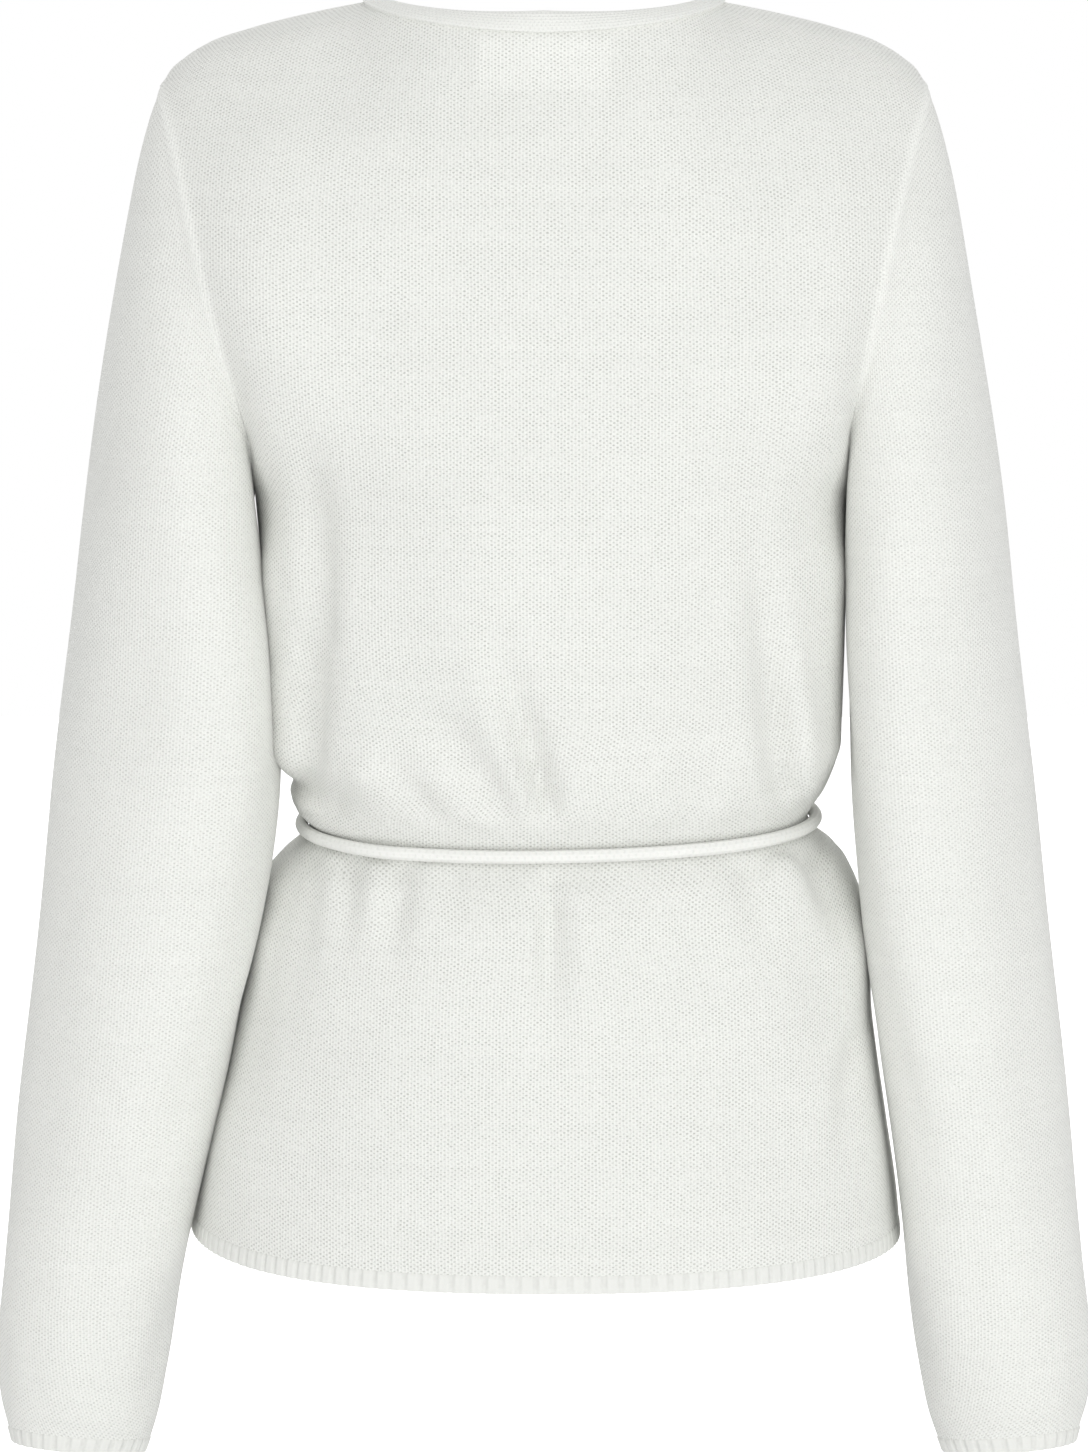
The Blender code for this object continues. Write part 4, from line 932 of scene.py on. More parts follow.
def grid_object(name, points, uv):
    """A grid primitive whose corners are set on the points and whose UV map is set on uv."""
    rows, columns = points.shape[:2]
    deselect()
    bpy.ops.mesh.primitive_grid_add(x_subdivisions=columns - 1, y_subdivisions=rows - 1, size=1.0)
    made = bpy.context.object
    made.name = name
    mesh = made.data
    mesh.name = name
    if len(mesh.vertices) != rows * columns:
        raise RuntimeError("the grid of %s has the wrong number of points" % name)
    flat = np.zeros(len(mesh.vertices) * 3)
    mesh.vertices.foreach_get("co", flat)
    flat = flat.reshape(-1, 3)
    place = np.rint((flat[:, 0] + 0.5) * (columns - 1)).astype(int)
    row = np.rint((flat[:, 1] + 0.5) * (rows - 1)).astype(int)
    mesh.vertices.foreach_set("co", (points[row, place] * MM).ravel())
    corners = np.zeros(len(mesh.loops), dtype=np.int32)
    mesh.loops.foreach_get("vertex_index", corners)
    layer = mesh.uv_layers.active or mesh.uv_layers.new(name="UVMap")
    layer.data.foreach_set("uv", (uv[row, place] * MM)[corners].ravel())
    mesh.update()
    return made


def edit_all(step, **settings):
    """Takes one modelling step on the whole of the active piece."""
    bpy.ops.object.mode_set(mode="EDIT")
    bpy.ops.mesh.select_all(action="SELECT")
    step(**settings)
    bpy.ops.object.mode_set(mode="OBJECT")


def sheet_object(name, points, uv, thickness, flip=False, ring=False):
    """Cloth of the given thickness behind a grid of outside points, all in millimetres."""
    made = grid_object(name, points, uv)
    if flip:
        edit_all(bpy.ops.mesh.flip_normals)
    if ring:
        edit_all(bpy.ops.mesh.remove_doubles, threshold=WELD)
    cloth = made.modifiers.new("cloth", "SOLIDIFY")
    cloth.thickness = thickness
    cloth.offset = -1.0
    bpy.ops.object.modifier_apply(modifier=cloth.name)
    bpy.ops.object.shade_smooth_by_angle(angle=math.radians(SHARP_ANGLE))
    return made


def smooth_path(points, spacing):
    """Evenly spaced points on a smooth curve through the given ones."""
    points = np.asarray(points, dtype=float)
    keys = line_lengths(points)
    fine = np.linspace(0.0, keys[-1], max(3, int(round(keys[-1] / spacing)) + 1))
    return np.stack([smooth_table(fine, keys, points[:, axis]) for axis in range(3)], axis=-1)


def cord_object(name, path, radius):
    """Round cord along a path in millimetres, with rounded closed ends."""
    along = unit(np.gradient(path, axis=0))
    helper = np.array((0.0, 0.0, 1.0)) if abs(along[0, 2]) < 0.8 else np.array((0.0, 1.0, 0.0))
    side = [unit(np.cross(along[0], helper))]
    for direction in along[1:]:
        side.append(unit(side[-1] - direction * np.dot(side[-1], direction)))
    side = np.array(side)
    other = np.cross(along, side)
    distance = line_lengths(path)
    near = np.clip(np.minimum(distance, distance[-1] - distance) / radius, 0.0, 1.0)
    size = radius * np.sqrt(np.clip(1.0 - (1.0 - near) ** 2, 0.04, 1.0))
    angle = np.linspace(0.0, 2.0 * math.pi, CORD_SIDES + 1)
    turn = angle[None, :, None]
    ring = np.cos(turn) * side[:, None] + np.sin(turn) * other[:, None]
    points = path[:, None] + ring * size[:, None, None]
    made = grid_object(name, points, point_array(angle[None] * radius, distance[:, None]))
    edit_all(bpy.ops.mesh.remove_doubles, threshold=WELD)
    bpy.ops.object.mode_set(mode="EDIT")
    bpy.ops.mesh.select_mode(type="EDGE")
    bpy.ops.mesh.select_non_manifold(
        extend=False, use_wire=False, use_multi_face=False, use_non_contiguous=False,
        use_verts=False)
    bpy.ops.mesh.edge_face_add()
    bpy.ops.object.mode_set(mode="OBJECT")
    edit_all(bpy.ops.mesh.normals_make_consistent, inside=False)
    bpy.ops.object.shade_smooth()
    return made


def mark_seams(made, points, seams):
    """Stores on every corner of a piece how near it lies to a seam, from 0 to 1."""
    tree = KDTree(points.shape[0] * points.shape[1])
    for place, point in enumerate((points * MM).reshape(-1, 3)):
        tree.insert(point, place)
    tree.balance()
    values = np.asarray(seams).ravel()
    near = [values[tree.find(corner.co)[1]] for corner in made.data.vertices]
    layer = made.data.attributes.new(name="seam", type="FLOAT", domain="POINT")
    layer.data.foreach_set("value", np.array(near, dtype=np.float32))


def dress(made, material_name, node):
    """Gives a piece its material, slot and body, and puts it in place of its solid."""
    made.data.materials.clear()
    made.data.materials.append(named_material(material_name))
    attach(made, BODY)
    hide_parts(node)


def near_seam(distance):
    """Nearness to a seam, 1 on it and 0 away from it."""
    return np.exp(-(distance / SEAM_REACH) ** 2)


def panel_seams(points, sides):
    """Nearness to the armhole seams, and half as much to the side and shoulder seams."""
    *distances, from_top = edge_distances(points)
    level = 0.4 + 0.6 * smooth_step((points[..., 2] - YOKE_HEIGHT) / SEAM_FADE)
    seams = 0.5 * near_seam(from_top)
    for distance, wanted in zip(distances, sides):
        if wanted:
            seams = np.maximum(seams, near_seam(distance) * level)
    return seams


def rib_points(place, first, last, length):
    """Outside of a strip of broad ribs, from its seam at level 0 to its free edge at level 1."""
    pitch = sizes().rib_pitch / MM
    raised = sizes().rib_raise / MM
    ribs = max(4, round(length / pitch))
    share = np.linspace(0.0, 1.0, ribs * RIB_CELLS + 1)[None]
    level = np.linspace(0.0, 1.0, RIB_ROWS + 1)[:, None]
    share, level = np.broadcast_arrays(share, level)
    points, normals = place(first + (last - first) * share, level)
    past = ((level - RIB_ROUND_FROM) / RIB_ROUND_REACH).clip(0.0, 1.0)
    end = np.sqrt(np.clip(1.0 - past ** 2, 0.0, 1.0))
    seam = smooth_step(level / RIB_SEAM_REACH)
    wave = 0.5 - 0.5 * np.cos(2.0 * math.pi * share * ribs)
    lift = raised * wave ** 0.7 * seam - RIB_ROUND_DROP * (1.0 - end) - RIB_SEAM_DROP * (1.0 - seam)
    return points + normals * lift[..., None], point_array(share * ribs * pitch, level * BAND_WIDTH)


def hem_place(lifted):
    """Function that gives points and normals of the hem strip, lifted where the fronts wrap."""
    def place(angle, level):
        height = HEM_RIB_TOP + (HEM_HEIGHT - HEM_RIB_TOP) * level
        points = torso(angle, height)
        normals = ring_normals(angle, height)
        offset = cloth_offset(points)
        if lifted:
            offset = offset + wrap_lift(points)
        return points + normals * offset[..., None], normals

    return place


def cuff_place(side):
    """Function that gives points and normals of a cuff strip."""
    def place(turn, level):
        height = CUFF_TOP + (CUFF_BOTTOM - CUFF_TOP) * level
        points = sleeve_ring(side, turn, height)
        along = sleeve_ring(side, turn + 0.1, height) - sleeve_ring(side, turn - 0.1, height)
        return points, square_to(along) * outward(side)

    return place


def shoulder_direction(side):
    """Direction square to the shoulder seam at the neck point."""
    along = shoulder(side, np.array(1.0)) - shoulder(side, np.array(1.0 - STEP))
    return unit(np.array((-along[2], 0.0, along[0]))) * -outward(side)


def band_distances():
    """Distances of a band's columns from its seam, the first ones under the panel's edge."""
    return np.linspace(-BAND_OVERLAP, BAND_WIDTH, BAND_COLUMNS + 1)


def band_places(seam, distance):
    """Cloth coordinates of a band: away from its seam and along it."""
    return point_array(distance[None], line_lengths(seam)[:, None])


def band_swell(distance):
    """Section of a band: a soft fold that is full in its middle and round at its free edge."""
    share = distance / BAND_WIDTH
    full = 0.5 * np.sin(math.pi * np.clip(share, 0.0, 1.0)) - 0.5 * smooth_step(-share * 6.0)
    return full - 0.9 * smooth_step((share - 0.8) / 0.2) ** 2


def neck_band_points():
    """Band along the back neck, with its cloth coordinates."""
    share = np.linspace(0.0, 1.0, NECK_BAND_ROWS)
    seam = neck_seam(share)
    angle = math.pi * share
    edge = back_panel(
        np.array((0.4999, 0.5001, 0.5)), np.full(3, YOKE_HEIGHT), np.array((1.0, 1.0, 0.9999)))
    middle = unit(np.cross(edge[1] - edge[0], edge[0] - edge[2]))
    ends = np.where((np.cos(angle) >= 0.0)[:, None], shoulder_direction("left"),
                    shoulder_direction("right"))
    normals = unit(ends * np.abs(np.cos(angle))[:, None] + middle * np.sin(angle)[:, None])
    along = neck_seam(np.clip(share + STEP, 0, 1)) - neck_seam(np.clip(share - STEP, 0, 1))
    direction = unit(np.cross(normals, along))
    distance = band_distances()
    points = seam[:, None] + direction[:, None] * distance[None, :, None]
    rise = NECK_BAND_RISE + band_swell(distance)
    return points + normals[:, None] * rise[None, :, None], band_places(seam, distance)


def front_band_points(side, front, normals):
    """Band along a front's wrap edge and neckline, laid on the layer that is under it."""
    sign = outward(side)
    height, share = panel_rows()
    rib_step = np.linspace(HEM_HEIGHT, HEM_RIB_TOP, RIB_ROWS + 1)[:-1]
    edge_turn = float(edge_angle(side, np.array(HEM_RIB_TOP)))
    level = (rib_step - HEM_RIB_TOP) / (HEM_HEIGHT - HEM_RIB_TOP)
    below, _ = hem_place(side == "right")(np.full(len(rib_step), edge_turn), level)
    seam = np.concatenate((below, front[:, -1]))
    edge_normals = normals[:, -1] * point_array(1.0, 1.0, smooth_step(share[:, 0]))
    lowest = np.repeat(edge_normals[:1], len(below), axis=0)
    edge_normals = unit(np.concatenate((lowest, edge_normals)))
    edge_normals[-1] = shoulder_direction(side)
    along = np.gradient(seam, axis=0)
    along[-1] = (0.0, 1.0, 0.0)
    direction = unit(np.cross(edge_normals, along)) * sign
    distance = band_distances()
    rise = band_swell(distance)
    rise = FRONT_BAND_RISE + rise if side == "right" else FRONT_BAND_RISE * rise
    free = seam[:, None] + direction[:, None] * distance[None, :, None]
    free = free + edge_normals[:, None] * rise[None, :, None]
    levels = np.concatenate((rib_step, height[:, 0]))
    base_x = np.concatenate((
        torso(np.full(len(rib_step), edge_turn), rib_step)[:, 0],
        torso(edge_angle(side, height[:, 0]), height[:, 0])[:, 0]))
    across = base_x[:, None] - sign * distance[None]
    ring_level = np.broadcast_to(levels[:, None], across.shape)
    angle = front_angle(across, ring_level)
    laid = torso(angle, ring_level)
    laid_normals = ring_normals(angle, ring_level)
    over = wrap_lift(laid) if side == "right" else -UNDER_BAND_DIP * distance / BAND_WIDTH
    offset = cloth_offset(laid) + over + rise
    laid = laid + laid_normals * offset[..., None]
    weight = smooth_step((YOKE_HEIGHT - levels) / BAND_LEVELS_OVER) * (levels <= YOKE_HEIGHT)
    return free + (laid - free) * weight[:, None, None], band_places(seam, distance)


def belt_point(angle, clearance):
    """Middle of the belt cord at a torso angle, clear of the cloth under it."""
    angle = np.asarray(angle, dtype=float)
    level = np.full(angle.shape, BELT_HEIGHT)
    points = torso(angle, level)
    normals = ring_normals(angle, level)
    over_edge = float(smooth_table(BELT_HEIGHT, EDGE_HEIGHT, EDGE_PAST_CENTRE)) + BAND_WIDTH
    past = points[..., 0] - over_edge
    past_edge = smooth_step((past - EDGE_CLEARANCE) / EDGE_FALL)
    lift = wrap_lift(points) * BAND_SHARE_OF_LIFT
    lift = lift + EDGE_BUMP * np.exp(-((past + EDGE_BUMP_BEFORE) / EDGE_BUMP_REACH) ** 2)
    return points + normals * (lift * (1.0 - past_edge) + clearance)[..., None]


def knot_centre():
    """Middle of the knot."""
    return belt_point(np.array(KNOT_ANGLE), KNOT_CLEARANCE)


def belt_end_path(start_offset, end_offset, bottom):
    """Free end of the belt, hanging from the knot down over the wrapped fronts."""
    knot = knot_centre()
    top = knot[2] - KNOT_HEIGHT * 0.5 - 1.0
    share = np.linspace(0.0, 1.0, BELT_END_POINTS)
    level = top + (bottom - top) * share
    across = knot[0] + start_offset + (end_offset - start_offset) * smooth_step(share)
    angle = front_angle(across, level)
    laid = torso(angle, level)
    out = ring_normals(angle, level)
    laid = laid + out * (wrap_lift(laid) + CORD_CLEARANCE + BELT_END_LIFT)[:, None]
    points = point_array(laid[:, 0], np.minimum(laid[:, 1], knot[1]), laid[:, 2])
    points[0] = (knot[0] + start_offset, knot[1], top)
    return smooth_path(points, CORD_SPACING)


# Shader helpers

def wire(tree, socket, source):
    """Joins a socket to another one or sets its plain value."""
    if isinstance(source, bpy.types.NodeSocket):
        tree.links.new(source, socket)
    else:
        socket.default_value = source


def maths(tree, operation, *sources):
    """One arithmetic step on numbers or sockets."""
    node = tree.nodes.new("ShaderNodeMath")
    node.operation = operation
    for socket, source in zip(node.inputs, sources):
        wire(tree, socket, source)
    return node.outputs[0]


def ramp(tree, value, low, high):
    """Soft step of a value, from 0 at low to 1 at high."""
    node = tree.nodes.new("ShaderNodeMapRange")
    node.interpolation_type = "SMOOTHSTEP"
    for name, source in (("Value", value), ("From Min", low), ("From Max", high)):
        wire(tree, node.inputs[name], source)
    return node.outputs["Result"]


def times(tree, first, second):
    """The product of two values."""
    return maths(tree, "MULTIPLY", first, second)


def added(tree, value, factor, base):
    """A value times a factor, added to a base."""
    return maths(tree, "MULTIPLY_ADD", value, factor, base)


def ripple(tree, turns):
    """A wave that repeats at every whole number of turns."""
    return maths(tree, "COSINE", times(tree, turns, 2.0 * math.pi))


def noise(tree, vector, scale, detail=1.0):
    """Cloudy noise between 0 and 1."""
    node = tree.nodes.new("ShaderNodeTexNoise")
    node.inputs["Scale"].default_value = scale
    node.inputs["Detail"].default_value = detail
    tree.links.new(vector, node.inputs["Vector"])
    return node.outputs["Fac"]


def swing(tree, vector, scale, detail=1.0):
    """Cloudy noise to both sides of zero."""
    return maths(tree, "SUBTRACT", noise(tree, vector, scale, detail), 0.5)


def new_group(name, inputs, outputs):
    """An empty node group with named number and vector sockets."""
    tree = bpy.data.node_groups.new(name, "ShaderNodeTree")
    kinds = {"number": "NodeSocketFloat", "vector": "NodeSocketVector"}
    for socket, kind in inputs:
        tree.interface.new_socket(name=socket, in_out="INPUT", socket_type=kinds[kind])
    for socket, kind in outputs:
        tree.interface.new_socket(name=socket, in_out="OUTPUT", socket_type=kinds[kind])
    return tree, tree.nodes.new("NodeGroupInput").outputs, tree.nodes.new("NodeGroupOutput").inputs


def stockinette_group():
    """Plain knit: columns of V-shaped stitches with small holes staggered between them, and painted
    shade in the holes and between the loops.
    """
    tree, given, wanted = new_group(
        "stockinette",
        (("Place", "vector"), ("Wale", "number"), ("Course", "number"), ("Waver", "number"),
         ("Depth", "number")),
        (("Height", "number"), ("Shade", "number")))
    place = given["Place"]
    parts = tree.nodes.new("ShaderNodeSeparateXYZ")
    tree.links.new(place, parts.inputs[0])
    waver = given["Waver"]
    side = added(tree, swing(tree, place, 90.0), waver, parts.outputs["X"])
    side = added(tree, swing(tree, place, 520.0), times(tree, waver, 0.45), side)
    up = added(tree, swing(tree, place, 300.0, 2.0), times(tree, waver, 0.6), parts.outputs["Y"])
    course = maths(tree, "DIVIDE", up, given["Course"])
    columns = ripple(tree, maths(tree, "DIVIDE", side, given["Wale"]))
    hole = ramp(tree, times(tree, columns, ripple(tree, course)), 0.05, 0.95)
    strand = ripple(tree, added(tree, columns, 0.25, course))
    bulge = maths(tree, "SUBTRACT", 1.0, times(tree, columns, columns))
    loop = times(tree, bulge, added(tree, strand, 0.2, 0.6))
    tree.links.new(added(tree, hole, -0.8, loop), wanted["Height"])
    # Painted shade in the holes and between the loops, deeper at random where the yarn is uneven
    chance = ramp(tree, noise(tree, place, 420.0), 0.36, 0.66)
    patch = ramp(tree, noise(tree, place, 85.0, 2.0), 0.34, 0.68)
    depth = added(tree, chance, 0.55, added(tree, patch, 0.28, 0.2))
    dark = added(tree, maths(tree, "SUBTRACT", 1.0, loop), 0.18, times(tree, hole, depth))
    dark = added(tree, swing(tree, place, 1300.0, 2.0), 0.7, dark)
    dark = maths(tree, "MAXIMUM", maths(tree, "MINIMUM", dark, 1.0), 0.0)
    tree.links.new(times(tree, dark, given["Depth"]), wanted["Shade"])


def unevenness_group():
    """Slow changes of tone in soft knit: faint level bands and cloudy patches, around one."""
    tree, given, wanted = new_group(
        "unevenness", (("Place", "vector"), ("Bands", "number"), ("Clouds", "number")),
        (("Tone", "number"),))
    mapping = tree.nodes.new("ShaderNodeMapping")
    mapping.inputs["Scale"].default_value = (4.0, 4.0, 190.0)
    tree.links.new(given["Place"], mapping.inputs["Vector"])
    tone = added(tree, swing(tree, mapping.outputs[0], 1.0, 2.0), given["Bands"], 1.0)
    tone = added(tree, swing(tree, given["Place"], 26.0, 3.0), given["Clouds"], tone)
    tree.links.new(tone, wanted["Tone"])


def group_node(tree, name, **sources):
    """A node group in use; gives its outputs."""
    node = tree.nodes.new("ShaderNodeGroup")
    node.node_tree = bpy.data.node_groups[name]
    for socket, source in sources.items():
        wire(tree, node.inputs[socket], source)
    return node.outputs


def new_material(name, roughness=0.92, sheen=0.0):
    """A matt material with its node tree and its shader."""
    material = bpy.data.materials.new(name)
    material.use_nodes = True
    tree = material.node_tree
    shader = tree.nodes["Principled BSDF"]
    shader.inputs["Roughness"].default_value = roughness
    shader.inputs["Specular IOR Level"].default_value = 0.15
    shader.inputs["Sheen Weight"].default_value = sheen
    shader.inputs["Sheen Roughness"].default_value = 0.55
    return material, tree, shader


def uv_place(tree):
    """Places in the piece's own cloth coordinates."""
    node = tree.nodes.new("ShaderNodeUVMap")
    node.uv_map = "UVMap"
    return node.outputs["UV"]


def object_place(tree):
    """Places in the garment's own frame."""
    return tree.nodes.new("ShaderNodeTexCoord").outputs["Object"]


def mixed_colour(tree, factor, first, second):
    """The first colour at factor 0 and the second one at factor 1."""
    node = tree.nodes.new("ShaderNodeMix")
    node.data_type = "RGBA"
    wire(tree, node.inputs["Factor"], factor)
    wire(tree, node.inputs[6], first)
    wire(tree, node.inputs[7], second)
    return node.outputs[2]


def toned(tree, colour, tone):
    """A colour with its brightness multiplied by a tone."""
    scale = tree.nodes.new("ShaderNodeVectorMath")
    scale.operation = "SCALE"
    wire(tree, scale.inputs[0], colour)
    wire(tree, scale.inputs["Scale"], tone)
    return scale.outputs[0]


def label_mask(tree):
    """Soft rectangle where the label lies inside the neck: 1 in it and 0 outside."""
    parts = tree.nodes.new("ShaderNodeSeparateXYZ")
    tree.links.new(object_place(tree), parts.inputs[0])
    soft = LABEL_SOFT_EDGE * MM
    out = LABEL_HALF_WIDTH * MM
    low = LABEL_BOTTOM * MM
    high = LABEL_TOP * MM
    side = ramp(tree, maths(tree, "ABSOLUTE", parts.outputs["X"]), out + soft, out - soft)
    above = ramp(tree, parts.outputs["Z"], low - soft, low + soft)
    below = ramp(tree, parts.outputs["Z"], high + soft, high - soft)
    behind = ramp(tree, parts.outputs["Y"], 0.0, 0.02)
    return times(tree, times(tree, times(tree, side, above), below), behind)


def bumped(tree, shader, height, strength, distance):
    """Raises the surface by a height without moving it."""
    bump = tree.nodes.new("ShaderNodeBump")
    bump.inputs["Strength"].default_value = strength
    bump.inputs["Distance"].default_value = distance
    tree.links.new(height, bump.inputs["Height"])
    tree.links.new(bump.outputs["Normal"], shader.inputs["Normal"])


def knit_material(name, colour, wale, course, waver, shade):
    """Brushed plain knit in one colour, with its stitches raised and painted shade in its gaps."""
    material, tree, shader = new_material(name, sheen=SHEEN)
    place = uv_place(tree)
    stitches = group_node(
        tree, "stockinette", Place=place, Wale=wale, Course=course, Waver=waver * MM, Depth=shade)
    tone = group_node(
        tree, "unevenness", Place=object_place(tree), Bands=UNEVENNESS, Clouds=UNEVENNESS)["Tone"]
    seam = tree.nodes.new("ShaderNodeAttribute")
    seam.attribute_name = "seam"
    # Painted shade of the gaps: the knit's colour darkened and a little warmer
    gap_shade = (colour[0] * GAP_SHADE_TONE, colour[1] * GAP_SHADE_TONE, colour[2] * GAP_SHADE_TONE * GAP_SHADE_WARMTH, 1.0)
    # Near the seams: less painted shade in the gaps where the knit is doubled, and a painted
    # highlight along the ridges
    shaded = times(tree, stitches["Shade"], added(tree, seam.outputs["Fac"], LESS_GAP_SHADE_AT_SEAM, 1.0))
    tone = added(tree, seam.outputs["Fac"], SEAM_HIGHLIGHT, tone)
    # On the back, painted light where the label behind the thin knit sends light back through it
    if name == "back_knit":
        tone = added(tree, label_mask(tree), LABEL_LIGHT_THROUGH, tone)
    surface = mixed_colour(tree, shaded, colour, gap_shade)
    tree.links.new(toned(tree, surface, tone), shader.inputs["Base Color"])
    tree.links.new(added(tree, stitches["Shade"], 0.06, 0.9), shader.inputs["Roughness"])
    fuzz = times(tree, noise(tree, place, FUZZ_SCALE, 2.0), FUZZ_HEIGHT)
    height = maths(tree, "ADD", stitches["Height"], fuzz)
    bumped(tree, shader, height, BUMP_STRENGTH, KNIT_BUMP * MM)
    return material


def label_material(colour):
    """Plain woven tape with fine crossing threads."""
    material, tree, shader = new_material("label_tape", roughness=0.75)
    parts = tree.nodes.new("ShaderNodeSeparateXYZ")
    tree.links.new(uv_place(tree), parts.inputs[0])
    threads = []
    for axis in ("X", "Y"):
        turns = times(tree, parts.outputs[axis], 2.0 * math.pi / (0.5 * MM))
        threads.append(added(tree, maths(tree, "SINE", turns), 0.5, 0.5))
    weave = times(tree, threads[0], threads[1])
    darker = tuple(channel * 0.9 for channel in colour[:3]) + (1.0,)
    tree.links.new(mixed_colour(tree, weave, darker, colour), shader.inputs["Base Color"])
    bumped(tree, shader, weave, 1.0, 0.1 * MM)
    return material


def stage_material(colour):
    """Pale paper that the camera sees as evenly lit."""
    material, tree, shader = new_material("stage_paper", roughness=0.9)
    tone = group_node(tree, "unevenness", Place=object_place(tree), Bands=0.0, Clouds=0.01)
    tree.links.new(toned(tree, colour[:3], tone["Tone"]), shader.inputs["Base Color"])
    ray = tree.nodes.new("ShaderNodeLightPath")
    shader.inputs["Emission Color"].default_value = (1.0, 1.0, 1.0, 1.0)
    tree.links.new(ray.outputs["Is Camera Ray"], shader.inputs["Emission Strength"])
    return material


def add_light(name, place, target, size, power):
    """Large soft light aimed at a point."""
    deselect()
    bpy.ops.object.light_add(type="AREA", location=place)
    light = bpy.context.object
    light.name = name
    light.data.size = size
    light.data.energy = power
    light.rotation_euler = (Vector(target) - Vector(place)).to_track_quat("-Z", "Y").to_euler()


def length_property(name, description, default, low, high):
    """Property for a length in metres."""
    return bpy.props.FloatProperty(
        name=name, description=description, default=default, min=low, max=high, unit="LENGTH")


def colour_property(name, description, *default):
    """Property for a colour."""
    return bpy.props.FloatVectorProperty(
        name=name, description=description, subtype="COLOR", size=4, min=0.0, max=1.0,
        default=default)


class CardiganSizes(bpy.types.PropertyGroup):
    cloth_thickness: length_property(
        "Cloth thickness", "Thickness of the knitted panels", 0.0018, 0.001, 0.003)
    wale: length_property(
        "Stitch width", "Width of one column of stitches", 0.003, 0.001, 0.01)
    course: length_property(
        "Stitch height", "Height of one row of stitches", 0.0019, 0.001, 0.01)
    rib_pitch: length_property(
        "Rib pitch", "Width of one rib and its furrow", 0.006, 0.002, 0.02)
    rib_raise: length_property(
        "Rib height", "How far a rib stands above its furrow", 0.0006, 0.0, 0.002)
    cord_radius: length_property(
        "Belt radius", "Radius of the knitted belt cord", 0.0029, 0.001, 0.006)


class CardiganColours(bpy.types.PropertyGroup):
    knit: colour_property("Knit", "Colour of the plain knit", 0.885, 0.893, 0.858, 1.0)
    # The ribs are of the knit's own yarn; their darker colour is painted shade over the whole strip
    rib: colour_property("Rib", "Colour of the ribs", 0.81, 0.818, 0.784, 1.0)
    cord: colour_property("Belt", "Colour of the belt cord", 0.9, 0.905, 0.872, 1.0)
    label: colour_property("Label", "Colour of the blank label", 0.9, 0.9, 0.88, 1.0)
    stage: colour_property("Stage", "Colour of the floor and backdrop", 0.9, 0.9, 0.9, 1.0)


def sizes():
    """The lengths set in the panel."""
    return bpy.context.scene.cardigan_sizes


def colours():
    """The colours set in the panel."""
    return bpy.context.scene.cardigan_colours


def named_material(name):
    """Finds a material or makes it on its first use."""
    found = bpy.data.materials.get(name)
    if found:
        return found
    if name == "label_tape":
        return label_material(tuple(colours().label))
    if name == "stage_paper":
        return stage_material(tuple(colours().stage))
    knit = tuple(colours().knit)
    wale = sizes().wale
    course = sizes().course
    round_belt = 2.0 * math.pi * sizes().cord_radius
    # Colour, stitch width and height, waver of the columns and depth of the shade
    knits = {
        "back_knit": (knit, wale, course, 1.0, 1.0),
        "brushed_knit": (knit, wale, course, 1.0, 1.0),
        "sleeve_knit": (knit, wale, course, 1.0, 0.74),
        # Ribs: the yarn's colour darkened and dark furrows, both painted shade
        "rib_knit": (tuple(colours().rib), 2.0 * wale, 5.0 * BAND_WIDTH * MM, 0.3, 0.24),
        "band_knit": (knit, BAND_WIDTH * MM / 3.0, course, 0.7, 0.3),
        "belt_knit": (tuple(colours().cord), round_belt / 4.0, 3.2 * MM, 0.5, 0.22),
    }
    return knit_material(name, *knits[name])


class CARDIGAN_OT_back(bpy.types.Operator):
    """Add the plain knitted back"""
    bl_idname = "cardigan.add_back"
    bl_label = "Add Back"

    def execute(self, context):
        points = back_points()
        made = sheet_object(
            "knit_back", points, knit_places(points, 0.0), sizes().cloth_thickness)
        dress(made, "back_knit", "back_panel")
        mark_seams(made, points, panel_seams(points, (True, True)))
        return {"FINISHED"}


class CARDIGAN_OT_fronts(bpy.types.Operator):
    """Add the two wrapped fronts with the bands along their edges"""
    bl_idname = "cardigan.add_fronts"
    bl_label = "Add Fronts"

    def execute(self, context):
        for side in ("left", "right"):
            points, normals = front_points(side)
            line = FRONT_LINE if side == "left" else -FRONT_LINE
            made = sheet_object(
                "knit_front_" + side, points, knit_places(points, line),
                sizes().cloth_thickness, flip=side == "left")
            dress(made, "brushed_knit", "front_panel_" + side)
            band_name = "knit_front_band_" + side
            band_points, uv = front_band_points(side, points, normals)
            band = sheet_object(
                band_name, band_points, uv, BAND_THICKNESS * MM, flip=side == "left")
            dress(band, "band_knit", "front_band_" + side)
            mark_seams(made, points, panel_seams(points, (True, False)))
        return {"FINISHED"}


class CARDIGAN_OT_sleeves(bpy.types.Operator):
    """Add the two long sleeves"""
    bl_idname = "cardigan.add_sleeves"
    bl_label = "Add Sleeves"

    def execute(self, context):
        for side in ("left", "right"):
            points, uv = sleeve_points(side)
            made = sheet_object(
                "knit_sleeve_" + side, points, uv, sizes().cloth_thickness,
                flip=side == "left", ring=True)
            dress(made, "sleeve_knit", "sleeve_" + side)
            mark_seams(made, points, near_seam(run_lengths(points, 0)))
        return {"FINISHED"}


